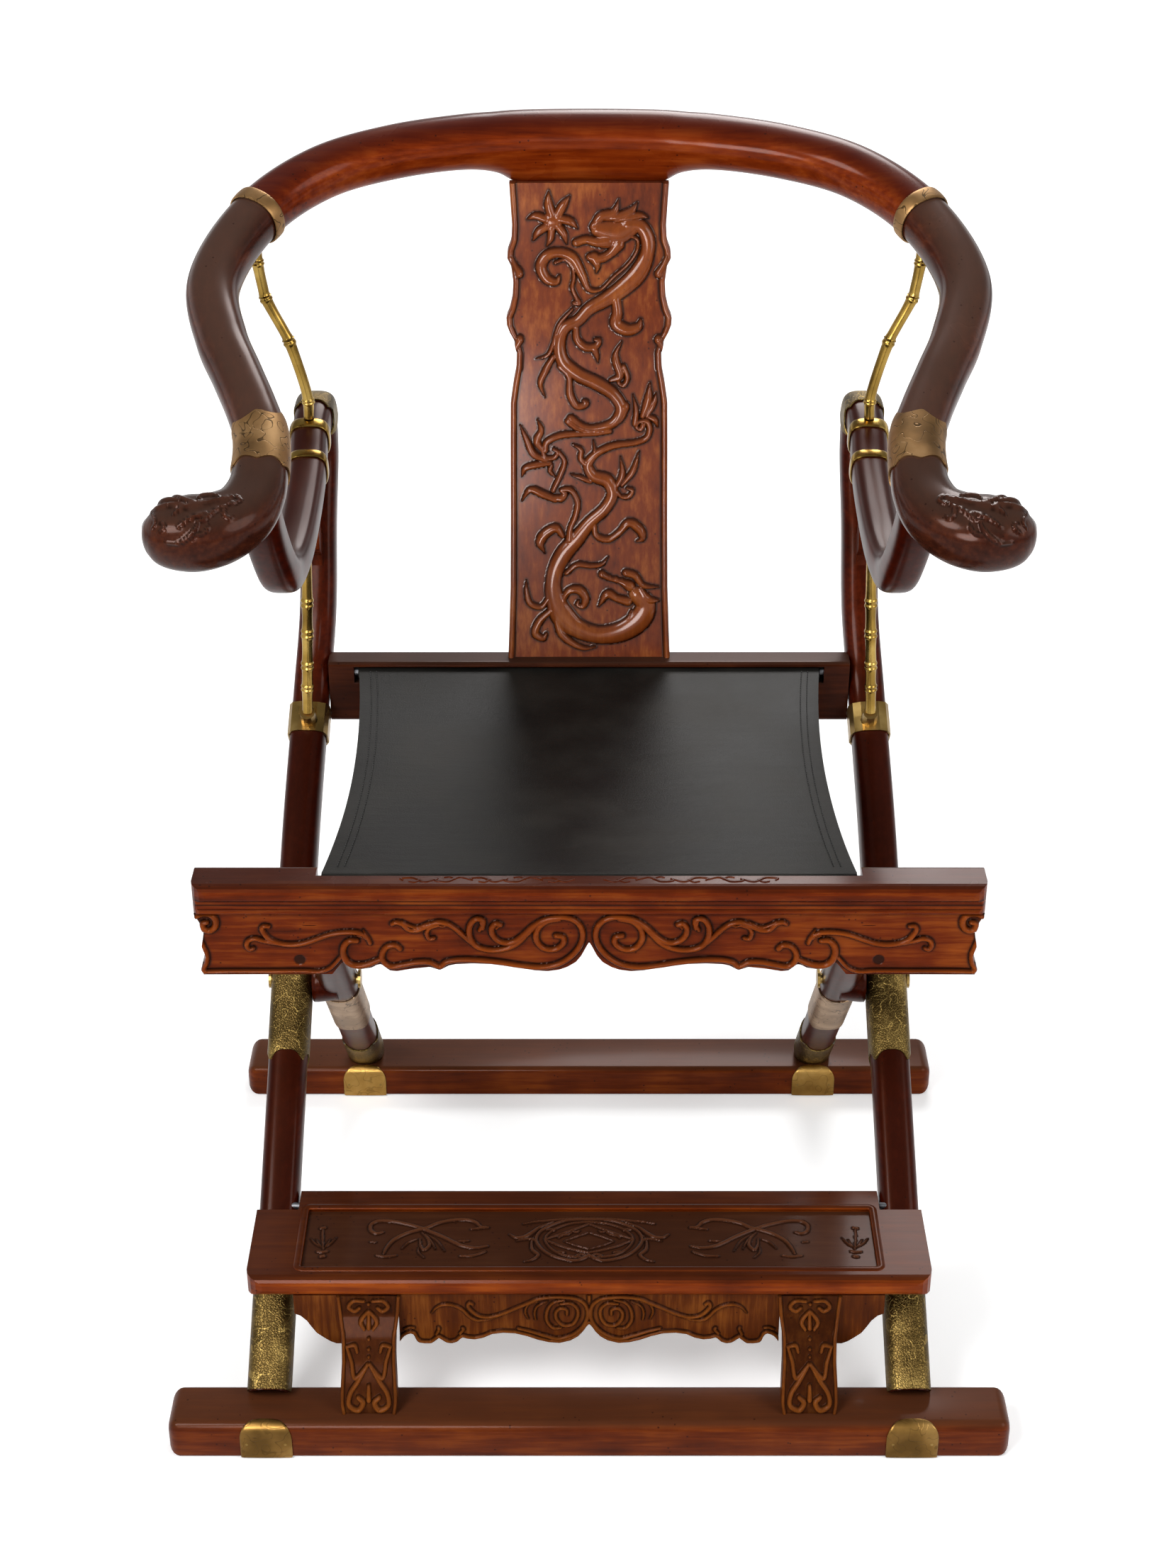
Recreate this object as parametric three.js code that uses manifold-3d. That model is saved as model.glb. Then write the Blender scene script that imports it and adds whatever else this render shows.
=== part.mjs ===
// Yoke-back folding armchair: two pairs of legs cross and turn on pins, a horseshoe
// rail carries the back and the arms, and a leather sling joins the two seat rails.
// Millimetres, +Z up, the sitter faces -Y, left and right are the viewer's.
import * as THREE from 'three';
import { mergeVertices } from 'three/addons/utils/BufferGeometryUtils.js';
import Module from 'manifold-3d';

const wasm = await Module();
wasm.setup();

// Overall sizes. Tables of places further down are shares of these three.
const chairWidth = 730;
const chairDepth = 742;
const chairHeight = 981;
const halfWidth = chairWidth / 2;

// Gaps: between fixed pieces, round the pins that turn and under sleeves on a bend.
const gap = 0.3;
const runningGap = 0.25;
const bendGap = 0.9;

// Legs and the pins that they turn on.
const legThick = 35;
const innerLegThick = 34;
const outerLegFootOut = 280;
const outerLegPivotOut = 276.4;
const outerLegRailOut = 270.5;
const innerLegOut = 234;
const pivotBackShare = 0.459569;
const pivotBack = chairDepth * pivotBackShare;
const pivotHeight = 270;
const pivotPinRadius = 5;
const pivotHeadRadius = 9;
const pivotHeadThick = 2.5;
const pivotPadRadius = 22;

// Floor stretchers.
const frontStretcherDepth = 50;
const frontStretcherHeight = 37;
const frontStretcherRound = 8;
const frontFootBack = 39;
const rearStretcherLength = 713;
const rearStretcherFrontShare = 0.699461;
const rearStretcherFront = chairDepth * rearStretcherFrontShare;
const rearStretcherDepth = 58;
const rearStretcherHeight = 34;
const rearStretcherRound = 6;
const stretcherEndRound = 12;

// Seat rails, the leather between them and the bars in its hems.
const frontRailLength = 662;
const frontRailFrontShare = 0.208895;
const frontRailFront = chairDepth * frontRailFrontShare;
const frontRailDepth = 36;
const frontRailTop = 487;
const frontRailHeight = 28;
const frontRailLip = 15;
const frontRailBead = 6;
const frontRailStep = 3;
const rearRailFrontShare = 0.762803;
const rearRailFront = chairDepth * rearRailFrontShare;
const rearRailDepth = 26;
const rearRailTop = 485;
const rearRailHeight = 64;
const railRound = 4;
const slotHalfWidth = 228;
const slotDeep = 16;
const slotHigh = 17;
const slotLip = 5;
const hemBarRadius = 4;
const leatherThick = 3;
const slingHalfWidth = 224;
const slingWaist = 11;
const slingSag = 10;

// Front apron under the seat.
const apronThick = 14;
const apronSetback = 4;
const apronDrop = 61;
const apronBead = 4;
const apronBeadRise = 1.5;

// Horseshoe rail.
const railThick = 46;
const railWide = 50;
const coveDrop = 18;
const collarThick = 1.5;

// Back splat.
const splatWidth = 157;
const splatThick = 12;
const splatBead = 5;
const splatPanelDeep = 2.5;
const splatSetIn = 15;
const splatSink = 21;
const splatOnRail = 9;

// Thin brass and the rods.
const brassThick = 1.2;
const rodRadius = 5.5;
const rodNodeRise = 2;
const saddleRadius = 9;
const saddleRise = 15;
const footPlateWidth = 45;
const rearPlateWidth = 44;

// Spandrel between upper leg and goose-neck.
const spandrelThick = 10;

// Footrest.
const footrestHalfWidth = 296;
const footrestFront = 56;
const footrestBack = 178;
const footrestTop = 152;
const footrestThick = 20;
const footrestRound = 7;
const footrestPinBack = 161.2;
const footrestPinDrop = 5;
const footrestPinRadius = 3;
const footrestPinIn = 16;
const footrestNotch = 45;
const footrestNotchSlant = 17;
const footrestCorner = 14;
const panelBorder = 16;
const panelSink = 2;
const panelThick = 9;
const footrestLegOut = 191;
const footrestLegWidth = 50;
const footrestLegThick = 14;
const footrestApronDrop = 55;
const footrestApronThick = 10;

// Geometry helpers.
const barSides = 12;
const pinSides = 32;
const padSides = 28;
const weldReach = 0.0005;
const vec = (x, y, z) => new THREE.Vector3(x, y, z);
const across = vec(1, 0, 0);
const place = ([outShare, backShare, upShare]) =>
  vec(outShare * halfWidth, backShare * chairDepth, upShare * chairHeight);

// Merges a geometry by position only, as a solid needs it.
function plain(geometry) {
  if (geometry.index && !geometry.attributes.normal && !geometry.attributes.uv) return geometry;
  const copy = geometry.clone();
  copy.deleteAttribute('normal');
  copy.deleteAttribute('uv');
  return mergeVertices(copy, weldReach);
}

function solid(geometry) {
  const g = plain(geometry);
  return new wasm.Manifold(new wasm.Mesh({
    numProp: 3,
    vertProperties: new Float32Array(g.attributes.position.array),
    triVerts: new Uint32Array(g.index.array),
  }));
}

function surface(manifold) {
  const mesh = manifold.getMesh();
  const g = new THREE.BufferGeometry();
  const count = mesh.vertProperties.length / mesh.numProp;
  const at = new Float32Array(count * 3);
  for (let i = 0; i < count; i += 1) {
    for (let k = 0; k < 3; k += 1) at[3 * i + k] = mesh.vertProperties[i * mesh.numProp + k];
  }
  g.setAttribute('position', new THREE.BufferAttribute(at, 3));
  g.setIndex(Array.from(mesh.triVerts));
  return g;
}

const cut = (geometry, ...tools) =>
  surface(tools.reduce((left, tool) => left.subtract(solid(tool)), solid(geometry)));
const join = (geometry, ...more) =>
  surface(more.reduce((left, tool) => left.add(solid(tool)), solid(geometry)));
const overlap = (geometry, tool) => surface(solid(geometry).intersect(solid(tool)));

// The largest body of a cut solid.
function largest(geometry) {
  const bodies = solid(geometry).decompose();
  bodies.sort((a, b) => b.volume() - a.volume());
  return surface(bodies[0]);
}

// A closed skin from rings of equal count; the ends are closed by fans.
function loft(rings) {
  const n = rings[0].length;
  const at = [];
  const faces = [];
  rings.forEach((ring) => ring.forEach((p) => at.push(p.x, p.y, p.z)));
  for (let i = 0; i + 1 < rings.length; i += 1) {
    for (let j = 0; j < n; j += 1) {
      const a = i * n + j;
      const b = i * n + ((j + 1) % n);
      faces.push(a, b, a + n, b, b + n, a + n);
    }
  }
  [0, rings.length - 1].forEach((i, end) => {
    const middle = rings[i].reduce((sum, p) => sum.add(p), vec(0, 0, 0)).divideScalar(n);
    const centre = at.length / 3;
    at.push(middle.x, middle.y, middle.z);
    for (let j = 0; j < n; j += 1) {
      const a = i * n + j;
      const b = i * n + ((j + 1) % n);
      if (end) faces.push(a, b, centre);
      else faces.push(b, a, centre);
    }
  });
  const g = new THREE.BufferGeometry();
  g.setAttribute('position', new THREE.Float32BufferAttribute(at, 3));
  g.setIndex(faces);
  return g;
}

// A hollow skin: outer rings out, inner rings back, closed on itself.
function shell(outer, inner) {
  const rings = [...outer, ...inner.reverse()];
  const n = rings[0].length;
  const at = [];
  const faces = [];
  rings.forEach((ring) => ring.forEach((p) => at.push(p.x, p.y, p.z)));
  for (let i = 0; i < rings.length; i += 1) {
    for (let j = 0; j < n; j += 1) {
      const a = i * n + j;
      const b = i * n + ((j + 1) % n);
      const c = ((i + 1) % rings.length) * n + j;
      const d = ((i + 1) % rings.length) * n + ((j + 1) % n);
      faces.push(a, b, c, b, d, c);
    }
  }
  const g = new THREE.BufferGeometry();
  g.setAttribute('position', new THREE.Float32BufferAttribute(at, 3));
  g.setIndex(faces);
  return g;
}

// A bar's surface along smooth rows of { at, wide, high, drop }. The high side follows
// the upright hint; square 2 is an ellipse, 4 a box with well rounded corners.
function barSurface(rows, upright, square) {
  const line = new THREE.CatmullRomCurve3(rows.map((row) => row.at), false, 'centripetal');
  const sizes = new THREE.CatmullRomCurve3(
    rows.map((row) => vec(row.wide, row.high, row.drop || 0)), false, 'catmullrom');
  const power = 2 / square;
  return (share, angle, grow) => {
    const t = Math.min(1, Math.max(0, share));
    const at = line.getPoint(t);
    const along = line.getTangent(t);
    const size = sizes.getPoint(t);
    const high = upright.clone().addScaledVector(along, -upright.dot(along)).normalize();
    const wide = high.clone().cross(along);
    const c = Math.cos(angle);
    const s = Math.sin(angle);
    at.addScaledVector(wide, (size.x / 2 + grow) * Math.sign(c) * Math.abs(c) ** power);
    at.addScaledVector(high, (size.y / 2 + grow) * Math.sign(s) * Math.abs(s) ** power);
    if (s < 0) at.z += size.z * s;
    return at;
  };
}

function ring(skin, shareAt, sides, grow) {
  return Array.from({ length: sides }, (_, j) => {
    const angle = (2 * Math.PI * (j + 0.5)) / sides;
    return skin(shareAt(angle), angle, grow);
  });
}

function bar(skin, { from = 0, to = 1, steps, sides = barSides, grow = 0 }) {
  return loft(Array.from({ length: steps + 1 }, (_, i) =>
    ring(skin, () => from + ((to - from) * i) / steps, sides, grow)));
}

// A thin sleeve on a bar. Its ends can be waved by a share of the bar's line.
function sleeve(skin, {
  from, to, steps, thick, sides = barSides, clear = gap, waveFrom = 0, waveTo = 0, lobes = 2,
}) {
  const rings = (grow) => Array.from({ length: steps + 1 }, (_, i) => {
    const shareAt = (angle) => {
      const wave = Math.abs(Math.cos((angle * lobes) / 2));
      const low = from + waveFrom * wave;
      const high = to - waveTo * wave;
      return low + ((high - low) * i) / steps;
    };
    return ring(skin, shareAt, sides, grow);
  });
  return shell(rings(clear + thick), rings(clear));
}

const smooth = (points, count) =>
  new THREE.SplineCurve(points.map(([x, y]) => new THREE.Vector2(x, y))).getPoints(count)
    .map((p) => [p.x, p.y]);

// A prism of an outline: along X the outline is (y, z), along Y (x, z), along Z (x, y).
function prism(axis, outline, from, to, holes = []) {
  const shape = new THREE.Shape(outline.map(([a, b]) => new THREE.Vector2(a, b)));
  shape.holes = holes.map((hole) => new THREE.Path(hole.map(([a, b]) => new THREE.Vector2(a, b))));
  const g = new THREE.ExtrudeGeometry(shape, { depth: to - from, bevelEnabled: false });
  const basis = new THREE.Matrix4();
  if (axis === 'x') basis.makeBasis(vec(0, 1, 0), vec(0, 0, 1), vec(1, 0, 0)).setPosition(from, 0, 0);
  if (axis === 'y') basis.makeBasis(vec(1, 0, 0), vec(0, 0, 1), vec(0, -1, 0)).setPosition(0, to, 0);
  if (axis === 'z') basis.setPosition(0, 0, from);
  return plain(g).applyMatrix4(basis);
}

// A rectangle whose four corners are rounded: low-low, high-low, high-high, low-high.
function rounded(a0, a1, b0, b1, radii, steps = 4) {
  const corners = [[a0, b0, 1, 1, 2], [a1, b0, -1, 1, 3], [a1, b1, -1, -1, 0], [a0, b1, 1, -1, 1]];
  return corners.flatMap(([a, b, sa, sb, quarter], k) => {
    const r = radii[k];
    if (!r) return [[a, b]];
    return Array.from({ length: steps + 1 }, (_, i) => {
      const angle = (Math.PI / 2) * (quarter + i / steps);
      return [a + sa * r + r * Math.cos(angle), b + sb * r + r * Math.sin(angle)];
    });
  });
}

const box = (x0, x1, y0, y1, z0, z1) =>
  prism('z', rounded(x0, x1, y0, y1, [0, 0, 0, 0]), z0, z1);

function rodAcross(radius, x0, x1, y, z, sides = 16) {
  const g = new THREE.CylinderGeometry(radius, radius, x1 - x0, sides);
  return plain(g).rotateZ(Math.PI / 2).translate((x0 + x1) / 2, y, z);
}

function mirrored(geometry) {
  const g = plain(geometry).clone();
  g.scale(-1, 1, 1);
  const order = Array.from(g.index.array);
  for (let i = 0; i < order.length; i += 3) [order[i], order[i + 1]] = [order[i + 1], order[i]];
  g.setIndex(order);
  return g;
}

// An outline moved inwards by a distance, corner by corner.
function inset(outline, distance) {
  const n = outline.length;
  const area = outline.reduce((sum, [x, y], i) => {
    const [u, v] = outline[(i + 1) % n];
    return sum + x * v - u * y;
  }, 0);
  const turn = Math.sign(area);
  return outline.map(([x, y], i) => {
    const [px, py] = outline[(i + n - 1) % n];
    const [qx, qy] = outline[(i + 1) % n];
    const a = new THREE.Vector2(x - px, y - py).normalize();
    const b = new THREE.Vector2(qx - x, qy - y).normalize();
    const inward = new THREE.Vector2(-(a.y + b.y), a.x + b.x).normalize();
    const spread = Math.max(0.6, Math.sqrt((1 + a.dot(b)) / 2));
    return [x + (turn * inward.x * distance) / spread, y + (turn * inward.y * distance) / spread];
  });
}

const bothSides = (half) => [...half, ...half.slice(0, -1).reverse().map(([x, z]) => [-x, z])];

const chair = new THREE.Group();
chair.name = 'yoke_back_folding_armchair';
const wood = () => new THREE.MeshStandardMaterial({ color: 0x7a3418, roughness: 0.35, metalness: 0 });
const darkWood = () => new THREE.MeshStandardMaterial({ color: 0x4a2622, roughness: 0.35, metalness: 0 });
const brass = () => new THREE.MeshStandardMaterial({ color: 0x9a8040, roughness: 0.35, metalness: 1 });
const steel = () => new THREE.MeshStandardMaterial({ color: 0x5a5a5c, roughness: 0.4, metalness: 1 });
const leather = () => new THREE.MeshStandardMaterial({ color: 0x3a3b38, roughness: 0.45, metalness: 0 });

function add(name, geometry, material) {
  const g = plain(geometry);
  const flat = g.toNonIndexed();
  flat.computeVertexNormals();
  const mesh = new THREE.Mesh(flat, material());
  mesh.name = name;
  chair.add(mesh);
}

function addPair(name, geometry, material) {
  add(`${name}_left`, mirrored(geometry), material);
  add(`${name}_right`, geometry, material);
}

// Horseshoe rail. Its line lies in one slanted plane; rows are right side, from the
// middle of the back to the hand knob: out, back, section width and section height.
const railLowShare = 0.6528;
const railRiseShare = 0.3328;
const railRowShares = [
  [0, 0.9636, 1.0, 1.06], [0.1808, 0.962, 1.0, 1.05], [0.2411, 0.9593, 1.0, 1.03],
  [0.3151, 0.9555, 1.0, 1.02], [0.4959, 0.938, 0.96, 1.0],
  [0.6685, 0.903, 0.94, 0.98], [0.8164, 0.8315, 0.92, 0.98], [0.9041, 0.7183, 0.92, 1.0],
  [0.8685, 0.6334, 0.9, 0.98], [0.8219, 0.5795, 0.88, 0.96], [0.7781, 0.5283, 0.88, 0.94],
  [0.7507, 0.4879, 0.9, 0.93], [0.7452, 0.4447, 0.92, 0.93], [0.7507, 0.4124, 0.98, 0.94],
  [0.7781, 0.3827, 1.08, 1.06], [0.8329, 0.3639, 1.2, 1.22], [0.8959, 0.3585, 1.22, 1.26],
  [0.9589, 0.3639, 0.94, 0.98], [0.989, 0.3693, 0.24, 0.26],
];
const railHeightAt = (y) => chairHeight * (railLowShare + (railRiseShare * y) / chairDepth);
const railUp = vec(0, (-chairHeight * railRiseShare) / chairDepth, 1).normalize();
const railRow = ([outShare, backShare, wideShare, highShare]) => {
  const back = backShare * chairDepth;
  return {
    at: vec(outShare * halfWidth, back, railHeightAt(back)),
    wide: wideShare * railWide,
    high: highShare * railThick,
    drop: 0,
  };
};
const coveShares = [1, 1, 0.3];
const rightRows = railRowShares.map(railRow).map((row, i) =>
  ({ ...row, drop: coveDrop * (coveShares[i] || 0) }));
const otherSide = (row) => ({ ...row, at: vec(-row.at.x, row.at.y, row.at.z) });
const railRows = [...rightRows.slice(1).reverse().map(otherSide), ...rightRows];
const railSquareShare = 2.3;
const railSkin = barSurface(railRows, railUp, railSquareShare);
// Shares of the rail's whole line, knob to knob: its right splice, and half the joint there.
const spliceShare = 0.66667;
const spliceGapShare = 0.0002;
const crestSteps = 26;
const armSteps = 26;
const crestEnds = { from: 1 - spliceShare + spliceGapShare, to: spliceShare - spliceGapShare };
const armEnds = { from: spliceShare + spliceGapShare, to: 1 };
const crestGrown = bar(railSkin, { ...crestEnds, steps: crestSteps, grow: gap });
const armGrown = bar(railSkin, { ...armEnds, steps: armSteps, grow: gap });
add('crest_rail_centre', bar(railSkin, { ...crestEnds, steps: crestSteps }), darkWood);
addPair('crest_rail', bar(railSkin, { ...armEnds, steps: armSteps }), darkWood);

// Brass over the splices of the rail, and the plates on the arms.
const collarHalfShare = 0.0025;
const collarEnds = { from: spliceShare - collarHalfShare, to: spliceShare + collarHalfShare };
addPair('crest_collar', sleeve(railSkin, {
  ...collarEnds, steps: 2, thick: collarThick, clear: bendGap,
}), brass);
const armPlateFromShare = 0.79447;
const armPlateToShare = 0.84026;
addPair('arm_plate', sleeve(railSkin, {
  from: armPlateFromShare, to: armPlateToShare, steps: 5, thick: brassThick,
  waveFrom: 0.0027, waveTo: 0.0027, lobes: 4,
}), brass);

// Outer legs: straight from the front stretcher, then bent up to the peak.
const outerLean = (outerLegPivotOut - outerLegFootOut) / (pivotHeight - frontStretcherHeight);
const outerSlope = (pivotBack - frontFootBack) / (pivotHeight - frontStretcherHeight);
const outerLegAt = (z) => vec(outerLegFootOut + outerLean * (z - frontStretcherHeight),
  frontFootBack + outerSlope * (z - frontStretcherHeight), z);
const outerEntry = frontStretcherHeight / 3;
const legSizes = { wide: legThick, high: legThick };
const upperLegShares = [
  [0.7247, 0.8248, 0.5301], [0.7205, 0.8733, 0.6116], [0.7151, 0.9111, 0.6728],
  [0.7151, 0.9111, 0.7034],
];
const bendHeight = rearRailTop - rearRailHeight / 2;
const outerLegRows = [
  outerLegAt(frontStretcherHeight - outerEntry), outerLegAt((frontStretcherHeight + pivotHeight) / 2),
  outerLegAt(pivotHeight), outerLegAt((bendHeight + pivotHeight) / 2),
  vec(outerLegRailOut, outerLegAt(bendHeight).y, bendHeight),
  ...upperLegShares.map(place),
].map((at) => ({ at, ...legSizes }));
const legSquareShare = 3.2;
const outerLegSkin = barSurface(outerLegRows, across, legSquareShare);
const outerLegSteps = 21;
const outerLegBar = bar(outerLegSkin, { steps: outerLegSteps });
const outerLegGrown = bar(outerLegSkin, { steps: outerLegSteps, grow: gap });

// Share of a leg's line at a height, found on the line itself.
function shareAtHeight(rows, height) {
  const line = new THREE.CatmullRomCurve3(rows.map((row) => row.at), false, 'centripetal');
  let low = 0;
  let high = 1;
  const rising = rows[rows.length - 1].at.z > rows[0].at.z;
  for (let i = 0; i < 40; i += 1) {
    const middle = (low + high) / 2;
    if ((line.getPoint(middle).z < height) === rising) low = middle;
    else high = middle;
  }
  return low;
}

// Goose-neck: from the peak forward, down and up again under the arm.
const neckWide = 35;
const neckHigh = 34;
const neckRowShares = [
  [0.7151, 0.9104, 0.7044], [0.7151, 0.8922, 0.7197], [0.7151, 0.8625, 0.7217],
  [0.7178, 0.8181, 0.7146],
  [0.7137, 0.7615, 0.7013], [0.7151, 0.6739, 0.685], [0.7205, 0.593, 0.6748],
  [0.7288, 0.5364, 0.6748], [0.7315, 0.496, 0.6891], [0.7397, 0.4609, 0.7217],
  [0.7452, 0.4286, 0.7594], [0.7452, 0.4151, 0.7829],
];
const neckRows = neckRowShares.map((row) => ({ at: place(row), wide: neckWide, high: neckHigh }));
const neckSkin = barSurface(neckRows, across, legSquareShare);
const neckSteps = 24;
const neckBar = bar(neckSkin, { from: 0.004, steps: neckSteps });
const neckGrown = bar(neckSkin, { steps: neckSteps, grow: gap });
addPair('goose_neck', cut(neckBar, armGrown), wood);

// Brass on the goose-neck: cap at the peak, band under the upper rod and a second ring.
const neckNode = 1 / (neckRowShares.length - 1);
addPair('neck_cap', largest(cut(sleeve(neckSkin, {
  from: 0.01, to: 2.2 * neckNode, steps: 6, thick: brassThick, clear: bendGap, waveTo: 0.02, lobes: 4,
}), outerLegGrown)), brass);
const bandHalfShare = 0.022;
const bandShare = 3 * neckNode;
const ringShare = 4 * neckNode;
const neckBand = sleeve(neckSkin, {
  from: bandShare - bandHalfShare, to: bandShare + bandHalfShare, steps: 3, thick: brassThick,
});
addPair('neck_band', neckBand, brass);
addPair('neck_ring', sleeve(neckSkin, {
  from: ringShare - bandHalfShare / 2, to: ringShare + bandHalfShare / 2, steps: 2, thick: brassThick,
}), brass);

// Pins, sleeves and plates of the outer legs.
const sleeveAbove = 37;
const sleeveBelow = 51;
const footSleeveHigh = 82;
const pivotBore = rodAcross(pivotPinRadius + runningGap, 0, halfWidth, pivotBack, pivotHeight, pinSides);
const pinHeight = footrestTop - footrestPinDrop;
const footrestPinBore = rodAcross(footrestPinRadius + runningGap,
  innerLegOut, outerLegFootOut, footrestPinBack, pinHeight, pinSides);
const frontStretcherCut = box(-halfWidth, halfWidth, -gap, frontStretcherDepth + gap,
  0, frontStretcherHeight + gap);
const outerLeg = cut(outerLegBar, frontStretcherCut, neckGrown, pivotBore, footrestPinBore);
addPair('outer_leg', largest(outerLeg), wood);
const outerPivotShareLow = shareAtHeight(outerLegRows, pivotHeight - sleeveBelow);
const outerPivotShareHigh = shareAtHeight(outerLegRows, pivotHeight + sleeveAbove);
const pivotSleeve = sleeve(outerLegSkin, {
  from: outerPivotShareLow, to: outerPivotShareHigh, steps: 4, thick: brassThick,
  waveFrom: 0.012, waveTo: 0.01, lobes: 4,
});
addPair('pivot_sleeve', cut(pivotSleeve, pivotBore), brass);
const footSleeve = sleeve(outerLegSkin, {
  from: 0.001, to: shareAtHeight(outerLegRows, frontStretcherHeight + footSleeveHigh), steps: 4,
  thick: brassThick, waveTo: 0.01, lobes: 4,
});
addPair('outer_foot_sleeve', largest(cut(footSleeve, frontStretcherCut)), brass);

// Inner legs: from the rear stretcher forward and up to the front seat rail.
const innerFootBack = rearStretcherFront + rearStretcherDepth * 0.57;
const innerSlope = (pivotBack - innerFootBack) / (pivotHeight - rearStretcherHeight);
const innerLegAt = (z) => vec(innerLegOut, pivotBack + innerSlope * (z - pivotHeight), z);
const innerEntry = rearStretcherHeight / 3;
const frontRailUnder = frontRailTop - frontRailHeight;
const innerLegRows = [rearStretcherHeight - innerEntry, (rearStretcherHeight + pivotHeight) / 2,
  pivotHeight, (pivotHeight + frontRailUnder) / 2, frontRailUnder + frontRailHeight / 3]
  .map((z) => ({ at: innerLegAt(z), wide: innerLegThick, high: innerLegThick }));
const innerSquareShare = 2.6;
const innerLegSkin = barSurface(innerLegRows, across, innerSquareShare);
const rearStretcherCut = box(-halfWidth, halfWidth, rearStretcherFront - gap,
  rearStretcherFront + rearStretcherDepth + gap, 0, rearStretcherHeight + gap);
const frontRailCut = box(-halfWidth, halfWidth, frontRailFront - frontRailDepth,
  frontRailFront + frontRailDepth + frontRailDepth, frontRailUnder - gap, frontRailTop);
const padFace = outerLegPivotOut - legThick / 2 - brassThick - gap - gap;
const pivotPad = rodAcross(pivotPadRadius, innerLegOut, padFace, pivotBack, pivotHeight, padSides);
const pivotPadGrown = rodAcross(pivotPadRadius + gap, innerLegOut, padFace + gap, pivotBack,
  pivotHeight, padSides);
const innerLegSteps = 8;
const innerLeg = join(bar(innerLegSkin, { steps: innerLegSteps }), pivotPad);
addPair('inner_leg', largest(cut(innerLeg, rearStretcherCut, frontRailCut, pivotBore)), wood);
const innerBandShareLow = shareAtHeight(innerLegRows, pivotHeight - sleeveBelow);
const innerBandShareHigh = shareAtHeight(innerLegRows, pivotHeight + sleeveAbove / 2);
const innerBand = sleeve(innerLegSkin, {
  from: innerBandShareLow, to: innerBandShareHigh, steps: 4, thick: brassThick,
  waveFrom: 0.02, lobes: 4,
});
addPair('inner_pivot_band', largest(cut(innerBand, pivotPadGrown, pivotBore)), brass);
const pinInside = innerLegOut - innerLegThick / 2 - gap - brassThick - gap;
const pinOutside = outerLegPivotOut + legThick / 2 + gap + brassThick + gap;
addPair('pivot_pin', join(
  rodAcross(pivotPinRadius, pinInside - pivotHeadThick / 2, pinOutside + pivotHeadThick / 2, pivotBack,
    pivotHeight, pinSides),
  rodAcross(pivotHeadRadius, pinInside - pivotHeadThick, pinInside, pivotBack, pivotHeight),
  rodAcross(pivotHeadRadius, pinOutside, pinOutside + pivotHeadThick, pivotBack, pivotHeight),
), brass);
const innerFootSleeveHigh = 40;
addPair('inner_foot_sleeve', largest(cut(sleeve(innerLegSkin, {
  from: 0.001, to: shareAtHeight(innerLegRows, rearStretcherHeight + innerFootSleeveHigh), steps: 3,
  thick: brassThick, waveTo: 0.02, lobes: 4,
}), rearStretcherCut)), brass);

// Floor stretchers: rounded in plan and along the upper edges.
const frontStretcher = overlap(
  prism('z', rounded(-halfWidth, halfWidth, 0, frontStretcherDepth,
    [stretcherEndRound, stretcherEndRound, stretcherEndRound, stretcherEndRound]), 0, frontStretcherHeight),
  prism('x', rounded(0, frontStretcherDepth, 0, frontStretcherHeight,
    [0, 0, frontStretcherRound / 2, frontStretcherRound]), -halfWidth, halfWidth));
add('front_floor_stretcher', frontStretcher, wood);
const rearHalf = rearStretcherLength / 2;
add('rear_floor_stretcher', overlap(
  prism('z', rounded(-rearHalf, rearHalf, rearStretcherFront, rearStretcherFront + rearStretcherDepth,
    [stretcherEndRound, stretcherEndRound, stretcherEndRound, stretcherEndRound]), 0, rearStretcherHeight),
  prism('x', rounded(rearStretcherFront, rearStretcherFront + rearStretcherDepth, 0, rearStretcherHeight,
    [0, 0, rearStretcherRound, rearStretcherRound]), -rearHalf, rearHalf)), darkWood);

// Plates with an arched top nailed to the stretchers' front faces below the legs.
const plateOutlineShares = [
  [-0.5, 0.03], [-0.5, 0.55], [-0.47, 0.7], [-0.4, 0.83], [-0.28, 0.93], [-0.14, 0.99], [0, 1],
  [0.14, 0.99], [0.28, 0.93], [0.4, 0.83], [0.47, 0.7], [0.5, 0.55], [0.5, 0.03],
];
const footPlate = (out, width, face, height) => prism('y',
  plateOutlineShares.map(([a, b]) => [out + a * width, b * height]).reverse(),
  face - gap - brassThick, face - gap);
addPair('outer_foot_plate', footPlate(outerLegFootOut, footPlateWidth, 0,
  frontStretcherHeight - frontStretcherRound / 2), brass);
addPair('inner_foot_plate', footPlate(innerLegOut, rearPlateWidth, rearStretcherFront,
  rearStretcherHeight - rearStretcherRound / 2), brass);

// Front seat rail with its lip, groove and bead, and the recess for the hem.
const frontHalf = frontRailLength / 2;
const frontRailBack = frontRailFront + frontRailDepth;
const lipLow = frontRailTop - frontRailLip;
const beadTop = frontRailUnder + frontRailBead;
const railLipOutline = rounded(frontRailFront, frontRailBack, lipLow, frontRailTop,
  [railRound, 0, railRound, frontRailLip / 2]);
const railLower = rounded(frontRailFront + frontRailStep, frontRailBack, beadTop - gap, lipLow + gap,
  [0, 0, 0, 0]);
const railBeadOutline = rounded(frontRailFront + frontRailStep / 2, frontRailBack, frontRailUnder, beadTop,
  [frontRailBead / 2, 0, 0, frontRailBead / 2]);
const frontRailBlock = join(
  prism('x', railLipOutline, -frontHalf, frontHalf),
  prism('x', railLower, -frontHalf, frontHalf),
  prism('x', railBeadOutline, -frontHalf, frontHalf));
const frontRailPlan = prism('z', rounded(-frontHalf, frontHalf, frontRailFront, frontRailBack,
  [stretcherEndRound, stretcherEndRound, railRound, railRound]), frontRailUnder, frontRailTop);
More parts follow.
